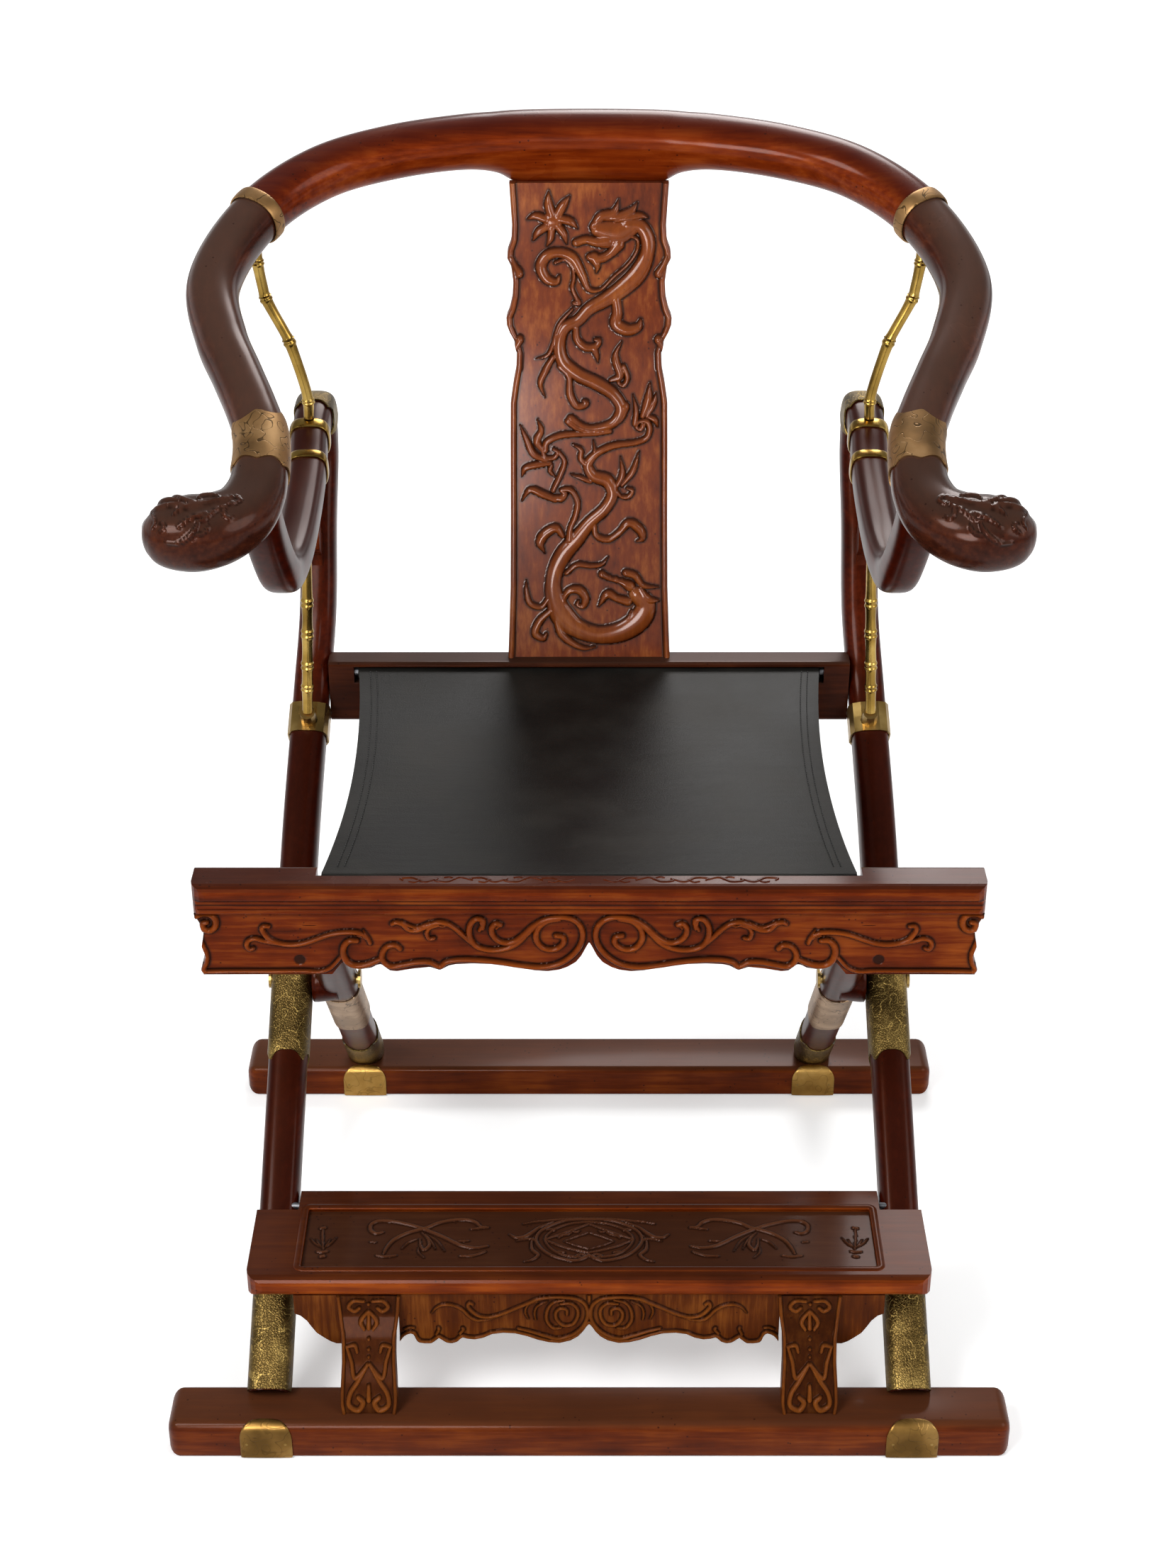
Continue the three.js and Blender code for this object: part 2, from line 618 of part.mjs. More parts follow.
const frontRecess = box(-slotHalfWidth, slotHalfWidth, frontRailBack - slotDeep, frontRailBack + slotDeep,
  frontRailTop - slotHigh, frontRailTop + slotHigh);
add('front_seat_rail', cut(overlap(frontRailBlock, frontRailPlan), frontRecess), wood);

// Front apron: cusped lower edge, ogee ends, raised bead on its face.
const apronHalfShares = [
  [1.0, 1], [0.985, 0.86], [0.978, 0.7], [0.985, 0.5], [0.972, 0.3], [0.985, 0.14], [1.0, 0.02], [0.985, 0],
  [0.656, 0.006], [0.642, 0.115], [0.629, 0.208], [0.62, 0.173], [0.604, 0.115], [0.581, 0.091],
  [0.555, 0.115], [0.541, 0.162], [0.53, 0.173], [0.521, 0.126], [0.509, 0.068], [0.491, 0.056],
  [0.451, 0.097], [0.406, 0.126], [0.392, 0.097], [0.381, 0.074], [0.37, 0.109], [0.358, 0.15],
  [0.34, 0.173], [0.298, 0.185], [0.25, 0.173], [0.208, 0.138], [0.173, 0.103], [0.137, 0.068],
  [0.106, 0.056], [0.077, 0.08], [0.056, 0.126], [0.034, 0.208], [0.02, 0.314], [0.009, 0.443],
  [0, 0.548],
];
const apronHalf = apronHalfShares.map(([a, b]) =>
  [a * frontHalf, frontRailUnder - gap - (1 - b) * apronDrop]);
const apronOutline = bothSides(apronHalf);
const apronFront = frontRailFront + apronSetback;
const innerLegGrown = bar(innerLegSkin, { steps: innerLegSteps, grow: gap });
const beadLine = inset(apronOutline, apronBead / 2).slice(1, -1);
const beadSkin = barSurface(beadLine.map(([x, z]) =>
  ({ at: vec(x, apronFront, z), wide: apronBead, high: 2 * apronBeadRise })), vec(0, -1, 0), 2);
const apronBoard = join(
  prism('y', apronOutline, apronFront, apronFront + apronThick),
  bar(beadSkin, { steps: beadLine.length - 1, sides: 5 }));
add('front_apron', largest(cut(apronBoard, innerLegGrown, mirrored(innerLegGrown))), wood);

// Height of the saddle collars on the outer legs, and their room beside the rear rail.
const saddleHeight = 427;
const saddleHalf = 10;
const saddleEnds = {
  from: shareAtHeight(outerLegRows, saddleHeight - saddleHalf),
  to: shareAtHeight(outerLegRows, saddleHeight + saddleHalf),
};
const saddleRoom = bar(outerLegSkin, { ...saddleEnds, steps: 2, grow: bendGap + collarThick + gap });

// Rear seat rail between the outer legs, slotted on its front for the hem.
const rearRailBack = rearRailFront + rearRailDepth;
const rearRailHalf = outerLegRailOut - legThick / 2 - gap;
const slotTop = rearRailTop - slotLip;
add('rear_seat_rail', largest(cut(
  prism('x', rounded(rearRailFront, rearRailBack, rearRailTop - rearRailHeight, rearRailTop,
    [railRound, railRound, railRound, railRound]), -rearRailHalf, rearRailHalf),
  box(-slotHalfWidth, slotHalfWidth, rearRailFront - slotDeep, rearRailFront + slotDeep,
    slotTop - slotHigh, slotTop),
  outerLegGrown, mirrored(outerLegGrown), saddleRoom, mirrored(saddleRoom))), wood);

// Leather sling: two round hems on bars, the sheet between sags and is waisted.
const hemRadius = hemBarRadius + gap + leatherThick;
const frontBarBack = frontRailBack - slotDeep / 2;
const frontBarHeight = frontRailTop - slotHigh + gap + hemRadius;
const rearBarBack = rearRailFront + slotDeep - gap - hemRadius;
const rearBarHeight = slotTop - slotHigh / 2;
const barHalf = slotHalfWidth - gap;
add('front_seat_bar', rodAcross(hemBarRadius, -barHalf, barHalf, frontBarBack, frontBarHeight), steel);
add('rear_seat_bar', rodAcross(hemBarRadius, -barHalf, barHalf, rearBarBack, rearBarHeight), steel);
const slingAlong = 12;
const slingAcross = 8;
function slingSheet() {
  const rings = [];
  for (let i = 0; i <= slingAlong; i += 1) {
    const t = i / slingAlong;
    const bow = 4 * t * (1 - t);
    const half = slingHalfWidth - slingWaist * bow;
    const y = frontBarBack + (rearBarBack - frontBarBack) * t;
    const lift = hemRadius - leatherThick / 2;
    const z = frontBarHeight + (rearBarHeight - frontBarHeight) * t + lift - slingSag * bow;
    const top = [];
    const under = [];
    for (let j = 0; j <= slingAcross; j += 1) {
      const s = (2 * j) / slingAcross - 1;
      const edgeLift = slingSag * 0.25 * bow * s * s;
      top.push(vec(s * half, y, z + edgeLift + leatherThick / 2));
      under.push(vec(s * half, y, z + edgeLift - leatherThick / 2));
    }
    rings.push([...top, ...under.reverse()]);
  }
  return loft(rings);
}
const hem = (back, height) => rodAcross(hemRadius, -slingHalfWidth, slingHalfWidth, back, height);
const hemHole = (back, height) => rodAcross(hemBarRadius + gap, -halfWidth, halfWidth, back, height);
add('seat_sling', cut(
  join(slingSheet(), hem(frontBarBack, frontBarHeight), hem(rearBarBack, rearBarHeight)),
  hemHole(frontBarBack, frontBarHeight), hemHole(rearBarBack, rearBarHeight)), leather);

// Back splat: rows of height share, half-width share and how far back, bottom to top.
const crestMiddle = rightRows[0].at;
const splatTopBack = crestMiddle.y - splatSetIn;
const splatBottomBack = rearRailFront + splatOnRail;
const splatTopHeight = crestMiddle.z - splatSink;
const splatRowShares = [
  [0, 1.0, 0], [0.06, 0.985, 0.05], [0.15, 0.965, 0.13], [0.3, 0.955, 0.27], [0.45, 0.95, 0.42],
  [0.53, 0.945, 0.5], [0.57, 0.91, 0.54], [0.6, 0.875, 0.57], [0.63, 0.868, 0.6],
  [0.655, 0.9, 0.63], [0.67, 0.95, 0.65],
  [0.685, 0.985, 0.665], [0.7, 0.99, 0.68], [0.715, 0.95, 0.7], [0.74, 0.915, 0.73], [0.77, 0.905, 0.765],
  [0.8, 0.93, 0.8], [0.815, 0.975, 0.815], [0.83, 0.97, 0.832], [0.85, 0.925, 0.855], [0.88, 0.915, 0.885],
  [0.92, 0.93, 0.925], [0.96, 0.945, 0.965], [1, 0.95, 1],
];
function splatRing([upShare, halfShare, backShare]) {
  const half = (splatWidth / 2) * halfShare;
  const z = rearRailTop + gap + (splatTopHeight - rearRailTop - gap) * upShare;
  const y = splatBottomBack + (splatTopBack - splatBottomBack) * backShare;
  const faceIn = y + splatPanelDeep;
  return [
    vec(-half, y + splatBead / 4, z), vec(-half + splatBead / 4, y, z), vec(-half + splatBead, y, z),
    vec(-half + splatBead + splatPanelDeep / 2, faceIn, z),
    vec(half - splatBead - splatPanelDeep / 2, faceIn, z),
    vec(half - splatBead, y, z), vec(half - splatBead / 4, y, z), vec(half, y + splatBead / 4, z),
    vec(half, y + splatThick, z), vec(-half, y + splatThick, z),
  ];
}
add('back_splat', largest(cut(loft(splatRowShares.map(splatRing)), crestGrown)), wood);

// Bamboo-jointed rods: round bars whose radius swells at the nodes.
function rodSkin(places) {
  return barSurface(places.map(([at, isNode]) => {
    const width = 2 * (rodRadius + (isNode ? rodNodeRise : 0));
    return { at, wide: width, high: width };
  }), across, 2);
}
const upperRodShares = [
  [[0.8219, 0.814, 0.9134], 0], [[0.8219, 0.8127, 0.8991], 0], [[0.8214, 0.8127, 0.8899], 1],
  [[0.8192, 0.8127, 0.8807], 0], [[0.8123, 0.8127, 0.8654], 0], [[0.8077, 0.8127, 0.8563], 1],
  [[0.7973, 0.8127, 0.8471], 0], [[0.7671, 0.8127, 0.8236], 0], [[0.7562, 0.8127, 0.8145], 1],
  [[0.7466, 0.8127, 0.8053], 0], [[0.7233, 0.814, 0.7696], 0], [[0.7164, 0.8154, 0.7533], 1],
  [[0.7164, 0.8167, 0.7421], 0], [[0.7178, 0.8181, 0.7258], 0],
];
const upperRodSkin = rodSkin(upperRodShares.map(([shares, isNode]) => [place(shares), isNode]));
const bandGrown = bar(neckSkin, {
  from: bandShare - bandHalfShare, to: bandShare + bandHalfShare, steps: 3,
  grow: gap + brassThick + gap,
});
const collarGrown = bar(railSkin, { ...collarEnds, steps: 2, grow: bendGap + collarThick + gap });
addPair('upper_rod', largest(cut(bar(upperRodSkin, { steps: 22, sides: 8 }), collarGrown, armGrown,
  crestGrown, neckGrown, bandGrown)), brass);

// Saddle collars on the outer legs that carry the lower rods.
const saddleAt = vec(outerLegRailOut, outerLegAt(saddleHeight).y, saddleHeight);
const legNormal = vec(0, -1, outerSlope).normalize();
const saddleTop = legThick / 2 + saddleRise;
function saddleBoss(grow) {
  const high = saddleTop + grow;
  const boss = plain(new THREE.CylinderGeometry(saddleRadius * 0.8 + grow, saddleRadius + grow, high, 12));
  boss.applyQuaternion(new THREE.Quaternion().setFromUnitVectors(vec(0, 1, 0), legNormal));
  return boss.translate(saddleAt.x, saddleAt.y + (legNormal.y * high) / 2,
    saddleAt.z + (legNormal.z * high) / 2);
}
const saddleRing = sleeve(outerLegSkin, {
  ...saddleEnds, steps: 2, thick: collarThick, clear: bendGap,
});
addPair('rod_collar', join(saddleRing, largest(cut(saddleBoss(0), outerLegGrown))), brass);
// The lower rod runs from the saddle to the goose-neck; nodes at shares of its length.
const lowerRodTop = place([0.7178, 0.7156, 0.7013]);
const lowerRodFoot = saddleAt.clone().addScaledVector(legNormal, saddleTop - saddleRise / 2);
const lowerNodeShares = [0.14, 0.255, 0.39, 0.5];
const nodeHalfShare = 0.035;
const lowerRodSkin = rodSkin([[0, 0], ...lowerNodeShares.flatMap((share) =>
  [[share - nodeHalfShare, 0], [share, 1], [share + nodeHalfShare, 0]]), [0.75, 0], [1, 0]]
  .map(([share, isNode]) => [lowerRodFoot.clone().lerp(lowerRodTop, share), isNode]));
const lowerRodBar = bar(lowerRodSkin, { steps: 24, sides: 8 });
addPair('lower_rod', largest(cut(lowerRodBar, neckGrown, saddleBoss(gap))), brass);

// Spandrels: pierced scroll brackets between upper leg and goose-neck.
const spandrelShares = [
  [0.7493, 0.7136], [0.7493, 0.6769], [0.7628, 0.6697], [0.779, 0.6748], [0.7871, 0.6606], [0.779, 0.6442],
  [0.7898, 0.634], [0.8059, 0.6371], [0.8127, 0.6218], [0.8046, 0.6055], [0.814, 0.5953],
  [0.8248, 0.5892], [0.8275, 0.5708], [0.8221, 0.5556], [0.8329, 0.5423], [0.8895, 0.5708], [0.9434, 0.7136],
];
const spandrelHoleShares = [
  [[0.8086, 0.6809], [0.8248, 0.6626], [0.8491, 0.6575], [0.8625, 0.6677], [0.8518, 0.683], [0.8248, 0.6901]],
  [[0.8059, 0.6544], [0.8167, 0.6442], [0.8329, 0.6422], [0.8302, 0.6524], [0.8167, 0.6606]],
  [[0.8248, 0.63], [0.8329, 0.6116], [0.8437, 0.6075], [0.8544, 0.6239], [0.8518, 0.6402], [0.8356, 0.6402]],
];
const legPlane = (points) => points.map(([a, b]) => [a * chairDepth, b * chairHeight]);
const spandrelOut = upperLegShares[1][0] * halfWidth;
const spandrelHoles = spandrelHoleShares.map((hole) => {
  const points = legPlane(hole);
  return smooth([...points, points[0]], 13).slice(0, -1);
});
const spandrelBoard = prism('x', smooth(legPlane(spandrelShares), 38), spandrelOut - spandrelThick / 2,
  spandrelOut + spandrelThick / 2, spandrelHoles);
const capRoom = bar(neckSkin, {
  from: 0, to: 2.6 * neckNode, steps: 8, grow: bendGap + brassThick + 4 * gap,
});
const ringRoom = bar(neckSkin, {
  from: ringShare - bandHalfShare, to: ringShare + bandHalfShare, steps: 4, grow: gap + brassThick + gap,
});
const spandrel = cut(spandrelBoard, outerLegGrown, neckGrown, capRoom, ringRoom, bandGrown);
addPair('spandrel', largest(spandrel), wood);

// Footrest board: frame with notched corners and the carved panel let into it.
const legClear = outerLegFootOut - legThick / 2 - 2 * gap - brassThick - footrestBack / 100;
const footrestUnder = footrestTop - footrestThick;
const notchBack = footrestBack - footrestNotch;
const notch = prism('x', [
  [notchBack, footrestUnder - gap], [footrestBack + footrestNotch, footrestUnder - gap],
  [footrestBack + footrestNotch, footrestTop + gap], [notchBack + footrestNotchSlant, footrestTop + gap],
], legClear, halfWidth);
const windowHalf = legClear - panelBorder / 2;
const windowFront = footrestFront + panelBorder;
const windowBack = footrestBack - panelBorder * 1.6;
const footrestPlan = overlap(
  prism('x', rounded(footrestFront, footrestBack, footrestUnder, footrestTop,
    [footrestRound, footrestRound / 2, footrestRound / 2, footrestRound]),
  -footrestHalfWidth, footrestHalfWidth),
  prism('z', rounded(-footrestHalfWidth, footrestHalfWidth, footrestFront, footrestBack,
    [footrestCorner, footrestCorner, 0, 0]), footrestUnder, footrestTop));
const footrestWindow = box(-windowHalf, windowHalf, windowFront, windowBack,
  footrestTop - panelSink - panelThick - gap, footrestTop + gap);
add('footrest_frame', cut(footrestPlan, notch, mirrored(notch), footrestWindow, footrestPinBore,
  mirrored(footrestPinBore)), darkWood);
add('footrest_panel', box(-windowHalf + gap, windowHalf - gap, windowFront + gap, windowBack - gap,
  footrestTop - panelSink - panelThick, footrestTop - panelSink), wood);
addPair('footrest_pin', rodAcross(footrestPinRadius, legClear - footrestPinIn, outerLegFootOut - legThick / 2
  + footrestPinIn / 2, footrestPinBack, pinHeight, pinSides), steel);

// Footrest legs sweep forward to stand on the stretcher; apron and side brackets.
const footrestLegRowShares = [
  [0.45, 1.04, 1.0], [0.3, 0.8, 0.98], [0.0, 0.55, 0.87],
  [-0.25, 0.3, 0.86], [-0.5, 0.12, 0.9], [-0.72, -0.06, 0.92],
];
const standHeight = frontStretcherHeight + gap;
const legReach = footrestFront - footrestRound;
const footrestLegRows = footrestLegRowShares.map(([backShare, upShare, wideShare]) => ({
  at: vec(footrestLegOut, footrestFront + footrestLegThick + backShare * legReach - footrestLegThick,
    standHeight + (footrestUnder - standHeight) * upShare),
  wide: footrestLegThick,
  high: footrestLegWidth * wideShare,
}));
const footrestLegSkin = barSurface(footrestLegRows, across, 5);
const footrestLegGrown = bar(footrestLegSkin, { steps: 10, sides: 16, grow: gap });
addPair('footrest_leg', largest(cut(bar(footrestLegSkin, { steps: 10, sides: 16 }),
  box(0, halfWidth, -chairDepth, chairDepth, 0, standHeight),
  box(0, halfWidth, -chairDepth, chairDepth, footrestUnder - gap, footrestTop))), wood);
const footApronShares = [
  [1.0, 1], [1.0, 0.3], [0.94, 0.12],
  [0.869, 0.03], [0.853, 0.134], [0.833, 0.186], [0.814, 0.208], [0.798, 0.178], [0.791, 0.089],
  [0.778, 0.016], [0.753, 0], [0.723, 0.001], [0.704, 0.06], [0.688, 0.119], [0.672, 0.075],
  [0.652, 0.016], [0.63, 0.001], [0.607, 0.03], [0.591, 0.097], [0.578, 0.126], [0.556, 0.097],
  [0.523, 0.082], [0.484, 0.119], [0.446, 0.193], [0.394, 0.222], [0.336, 0.208], [0.281, 0.149],
  [0.233, 0.075], [0.184, 0.023], [0.136, 0.008], [0.087, 0.06], [0.055, 0.141], [0.032, 0.245],
  [0.013, 0.363], [0, 0.415],
];
const footApronHalf = footrestLegOut;
const footApronFront = footrestFront + footrestRound / 2;
const footApronOutline = bothSides(footApronShares.map(([a, b]) =>
  [a * footApronHalf, footrestUnder - gap - (1 - b) * footrestApronDrop]));
const footApronBoard = prism('y', footApronOutline, footApronFront, footApronFront + footrestApronThick);
const footApron = cut(footApronBoard, footrestLegGrown, mirrored(footrestLegGrown));
add('footrest_apron', largest(footApron), wood);
const bracketShares = [
  [0, 1], [0, 0],
  [0.462, 0], [0.541, 0.045], [0.621, 0.119], [0.72, 0.222], [0.78, 0.341], [0.84, 0.474],
  [0.919, 0.577], [0.999, 0.622],
  [1, 1],
];
const bracketReach = legClear - footrestPinRadius - footrestLegOut;
addPair('footrest_bracket', largest(cut(prism('y', bracketShares.map(([a, b]) =>
  [footrestLegOut + a * bracketReach, footrestUnder - gap - (1 - b) * footrestApronDrop]).reverse(),
footApronFront, footApronFront + footrestApronThick), footrestLegGrown)), wood);

// The frame's origin is the bottom centre of the whole chair.
const whole = new THREE.Box3().setFromObject(chair);
const middle = whole.getCenter(vec(0, 0, 0));
chair.children.forEach((mesh) => mesh.geometry.translate(0, -middle.y, 0));

export default chair;
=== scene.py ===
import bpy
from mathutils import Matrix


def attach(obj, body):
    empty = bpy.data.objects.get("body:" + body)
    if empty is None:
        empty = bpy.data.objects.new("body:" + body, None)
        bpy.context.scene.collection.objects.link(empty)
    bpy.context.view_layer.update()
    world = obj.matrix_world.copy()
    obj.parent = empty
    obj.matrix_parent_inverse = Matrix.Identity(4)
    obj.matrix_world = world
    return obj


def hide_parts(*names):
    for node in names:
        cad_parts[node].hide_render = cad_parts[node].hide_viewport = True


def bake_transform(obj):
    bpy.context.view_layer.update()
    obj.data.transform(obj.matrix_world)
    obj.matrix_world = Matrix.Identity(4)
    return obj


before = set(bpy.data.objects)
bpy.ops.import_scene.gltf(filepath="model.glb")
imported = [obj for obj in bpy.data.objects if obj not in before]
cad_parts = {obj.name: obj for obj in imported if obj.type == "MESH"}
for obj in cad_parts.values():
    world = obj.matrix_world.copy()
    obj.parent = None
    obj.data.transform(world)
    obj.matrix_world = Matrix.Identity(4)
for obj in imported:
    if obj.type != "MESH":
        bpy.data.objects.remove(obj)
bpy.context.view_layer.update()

import math

import bpy
import numpy as np
from mathutils import Vector

# FRONT FLOOR STRETCHER
# One long bar of polished reddish-brown hardwood that the front pair of legs stands on.
# Sawn, planed, its front upper edge rounded over and the ends rounded in plan.


def linear(hex_colour):
    """A linear RGBA tuple from an sRGB hex colour: the usual two-part gamma curve."""
    value = [int(hex_colour[i:i + 2], 16) / 255 for i in (1, 3, 5)]
    return tuple(c / 12.92 if c <= 0.04045 else ((c + 0.055) / 1.055) ** 2.4 for c in value) + (1.0,)


def node(tree, kind, links=(), **settings):
    """Adds one node, sets its sockets and properties, and links other outputs to its inputs."""
    made = tree.nodes.new(kind)
    for key, value in settings.items():
        if hasattr(made, key) and key not in made.inputs.keys():
            setattr(made, key, value)
        else:
            made.inputs[int(key[1:]) if key[1:].isdigit() else key.replace("_", " ")].default_value = value
    for source, socket in links:
        tree.links.new(source, made.inputs[socket])
    return made


def ramp(tree, factor, stops):
    """A colour ramp through (place, hex colour) stops."""
    made = node(tree, "ShaderNodeValToRGB", [(factor, "Fac")])
    made.color_ramp.elements[0].position = stops[0][0]
    made.color_ramp.elements[0].color = linear(stops[0][1])
    made.color_ramp.elements[1].position = stops[-1][0]
    made.color_ramp.elements[1].color = linear(stops[-1][1])
    for place, colour in stops[1:-1]:
        made.color_ramp.elements.new(place).color = linear(colour)
    return made.outputs["Color"]


def maths(tree, operation, first, second=0.5):
    """One operation on an output and a number, or on two outputs."""
    if isinstance(second, float):
        return node(tree, "ShaderNodeMath", [(first, 0)], operation=operation, i1=second).outputs[0]
    return node(tree, "ShaderNodeMath", [(first, 0), (second, 1)], operation=operation).outputs[0]


def mapped(tree, value, **spans):
    """An output carried from one span of numbers to another."""
    return node(tree, "ShaderNodeMapRange", [(value, "Value")], **spans).outputs["Result"]


def tinted(tree, colour, amount, hex_colour):
    """A colour mixed with a plain one by an amount from 0 to 1."""
    return node(tree, "ShaderNodeMix", [(amount, "Factor"), (colour, "A")], data_type="RGBA",
                B=linear(hex_colour)).outputs["Result"]


def new_material(name):
    """A new material, its node tree and its shader."""
    material = bpy.data.materials.new(name)
    material.use_nodes = True
    return material, material.node_tree, material.node_tree.nodes["Principled BSDF"]


def waxed_hardwood(name, deep, middle, bright, top_shade_and_sheen, grain, roughness=0.3, polish=0.1):
    """Dense hardwood, stained and waxed: streaks about 1.5 mm wide drawn out along the grain
    axis, pores as dark specks, faces that point up tinted greyer and darker as painted shade and sheen.
    Raised carving gets a painted highlight, partly rubbed wear, and recesses a painted shade, both read from
    attributes of the mesh."""
    material, tree, shader = new_material(name)
    place = node(tree, "ShaderNodeTexCoord").outputs["Object"]
    stretch = [1.0, 1.0, 1.0]
    stretch["xyz".index(grain)] = 0.07
    along = node(tree, "ShaderNodeMapping", [(place, "Vector")], Scale=stretch).outputs["Vector"]
    streak = node(tree, "ShaderNodeTexNoise", [(along, "Vector")], Scale=190.0, Detail=6.0, Roughness=0.62)
    cloud = node(tree, "ShaderNodeTexNoise", [(place, "Vector")], Scale=16.0, Detail=3.0)
    both = node(tree, "ShaderNodeMix", [(streak.outputs["Fac"], "A"), (cloud.outputs["Fac"], "B")],
                Factor=0.45)
    colour = ramp(tree, both.outputs["Result"], [(0.34, deep), (0.5, middle), (0.66, bright)])
    normal = node(tree, "ShaderNodeTexCoord").outputs["Normal"]
    facing_up = node(tree, "ShaderNodeSeparateXYZ", [(normal, 0)]).outputs["Z"]
    # Painted shade and sheen: faces that point up are tinted towards a greyer, darker colour.
    top_shade_amount = mapped(tree, facing_up, interpolation_type="SMOOTHSTEP", From_Min=0.2, From_Max=0.9, To_Max=0.82)
    colour = tinted(tree, colour, top_shade_amount, top_shade_and_sheen)
    speck = node(tree, "ShaderNodeTexVoronoi", [(place, "Vector")], Scale=150.0, Randomness=1.0)
    pick = node(tree, "ShaderNodeTexNoise", [(place, "Vector")], Scale=45.0, Detail=2.0)
    close = maths(tree, "LESS_THAN", speck.outputs["Distance"], 0.14)
    few = maths(tree, "GREATER_THAN", pick.outputs["Fac"], 0.57)
    pores = maths(tree, "MULTIPLY", maths(tree, "MULTIPLY", close, few), 0.7)
    colour = tinted(tree, colour, pores, "#1c0d0a")
    # raised mixes towards the bright colour as a painted highlight, partly rubbed wear; recess mixes towards
    # near black as painted shade.
    for mark, shade in (("raised", bright), ("recess", "#140804")):
        amount = node(tree, "ShaderNodeAttribute", attribute_name=mark).outputs["Fac"]
        colour = tinted(tree, colour, amount, shade)
    tree.links.new(colour, shader.inputs["Base Color"])
    rough = mapped(tree, cloud.outputs["Fac"], To_Min=roughness - 0.06, To_Max=roughness + 0.12)
    tree.links.new(rough, shader.inputs["Roughness"])
    bump = node(tree, "ShaderNodeBump", [(streak.outputs["Fac"], "Height")], Strength=0.12, Distance=0.0004)
    tree.links.new(bump.outputs["Normal"], shader.inputs["Normal"])
    for socket, value in (("IOR", 1.5), ("Specular IOR Level", 0.2), ("Specular Tint", linear("#b8643a")),
                          ("Coat Weight", polish), ("Coat Roughness", 0.14)):
        shader.inputs[socket].default_value = value
    return material


# Stained and waxed rosewood-like hardwood: warm orange brown where light falls on the front
# faces, and a painted shade of dull dark brown on top. One material per direction of the grain.
wood_x = waxed_hardwood("waxed_hardwood_grain_across", "#3e1405", "#5c2306", "#7c390e", "#4c2c1b", "x")
wood_y = waxed_hardwood("waxed_hardwood_grain_along", "#230502", "#390b02", "#521806", "#2c0f08", "y")
wood_z = waxed_hardwood("waxed_hardwood_grain_up", "#2c0a03", "#481605", "#64280b", "#32140b", "z")

# Depth of the chair's middle behind the front face of the front stretcher, in millimetres,
# and the angle in radians from which an edge between two faces is drawn sharp.
CENTRE_BACK = 369.363
SHARP_ANGLE = 0.9


def mesh_piece(name, points, faces, material, marks=None):
    """A mesh object from row-frame millimetre points (Y counted from the front face of the
    front stretcher) and faces. Marks are named per-vertex numbers that the materials read."""
    mesh = bpy.data.meshes.new(name)
    place = (np.asarray(points, float) - (0.0, CENTRE_BACK, 0.0)) / 1000
    mesh.from_pydata(place.tolist(), [], [list(map(int, f)) for f in faces])
    mesh.validate()
    mesh.polygons.foreach_set("use_smooth", [True] * len(mesh.polygons))
    mesh.set_sharp_from_angle(angle=SHARP_ANGLE)
    mesh.update()
    for key, numbers in (marks or {}).items():
        mesh.attributes.new(key, "FLOAT", "POINT").data.foreach_set("value", np.asarray(numbers, float))
    obj = bpy.data.objects.new(name, mesh)
    bpy.context.scene.collection.objects.link(obj)
    mesh.materials.append(material)
    return obj


def ring_faces(rows, sides, closed=False):
    """Faces of a tube of rings: each quad joins a ring's edge to the next ring's."""
    i, j = np.meshgrid(np.arange(rows if closed else rows - 1), np.arange(sides), indexing="ij")
    here, there, after = i * sides, (i + 1) % rows * sides, (j + 1) % sides
    return np.stack([here + j, here + after, there + after, there + j], -1).reshape(-1, 4).tolist()


def mirrored(points, faces):
    """The same piece on the other side: X changes sign and each face turns round."""
    return np.asarray(points) * (-1, 1, 1), [f[::-1] for f in faces]


def rounded_section(low, high, radii, steps=6):
    """The outline of a rectangle from low to high, each corner an arc of its own radius,
    counted from the low-low corner anticlockwise."""
    (a0, b0), (a1, b1) = low, high
    corners = [(a0, b0, 1, 1, 2), (a1, b0, -1, 1, 3), (a1, b1, -1, -1, 0), (a0, b1, 1, -1, 1)]
    points = []
    for (a, b, sa, sb, quarter), r in zip(corners, radii):
        turn = np.pi / 2 * (quarter + np.linspace(0, 1, steps + 1))
        points.append(np.stack([a + sa * r + r * np.cos(turn), b + sb * r + r * np.sin(turn)], -1))
    return np.concatenate(points)


def straight_bar(section, half, end_round, steps=6):
    """A section (y, z) carried along X from -half to half. Near each end it shrinks towards
    its middle by a quarter circle of radius end_round, so the end faces are rounded."""
    turn = np.linspace(np.pi / 2, 0, steps)
    x = half - end_round * (1 - np.sin(turn))
    drop = end_round * (1 - np.cos(turn))
    x, drop = np.concatenate([-x, x[::-1]]), np.concatenate([drop, drop[::-1]])
    middle = (section.max(0) + section.min(0)) / 2
    reach = (section.max(0) - section.min(0)) / 2
    scale = 1 - drop[:, None, None] / reach
    yz = middle + (section[None] - middle) * scale
    points = np.concatenate([np.broadcast_to(x[:, None, None], yz.shape[:2] + (1,)), yz], -1).reshape(-1, 3)
    sides = len(section)
    faces = ring_faces(len(x), sides)
    faces += [list(range(sides))[::-1], [(len(x) - 1) * sides + j for j in range(sides)]]
    return points, faces


piece = mesh_piece("stretcher_front", *straight_bar(
    rounded_section((0.4, 0.4), (49.6, 37), (2, 3, 4, 8)), 365, 9), wood_x)
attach(piece, "outer_frame")
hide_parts("front_floor_stretcher")

# REAR FLOOR STRETCHER
# The bar under the inner legs, of the same hardwood, planed flat with its long edges eased.
# The inner legs are tenoned into its top.
piece = mesh_piece("stretcher_rear", *straight_bar(
    rounded_section((519.4, 0.4), (576.6, 34), (2, 2, 6, 6)), 356.5, 10), wood_x)
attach(piece, "inner_frame")
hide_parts("rear_floor_stretcher")

# OUTER LEGS
# Each is one bent stick: straight from the front stretcher through the pivot, then curving
# up to the peak behind the sitter. Rounded-square section, scraped and waxed.


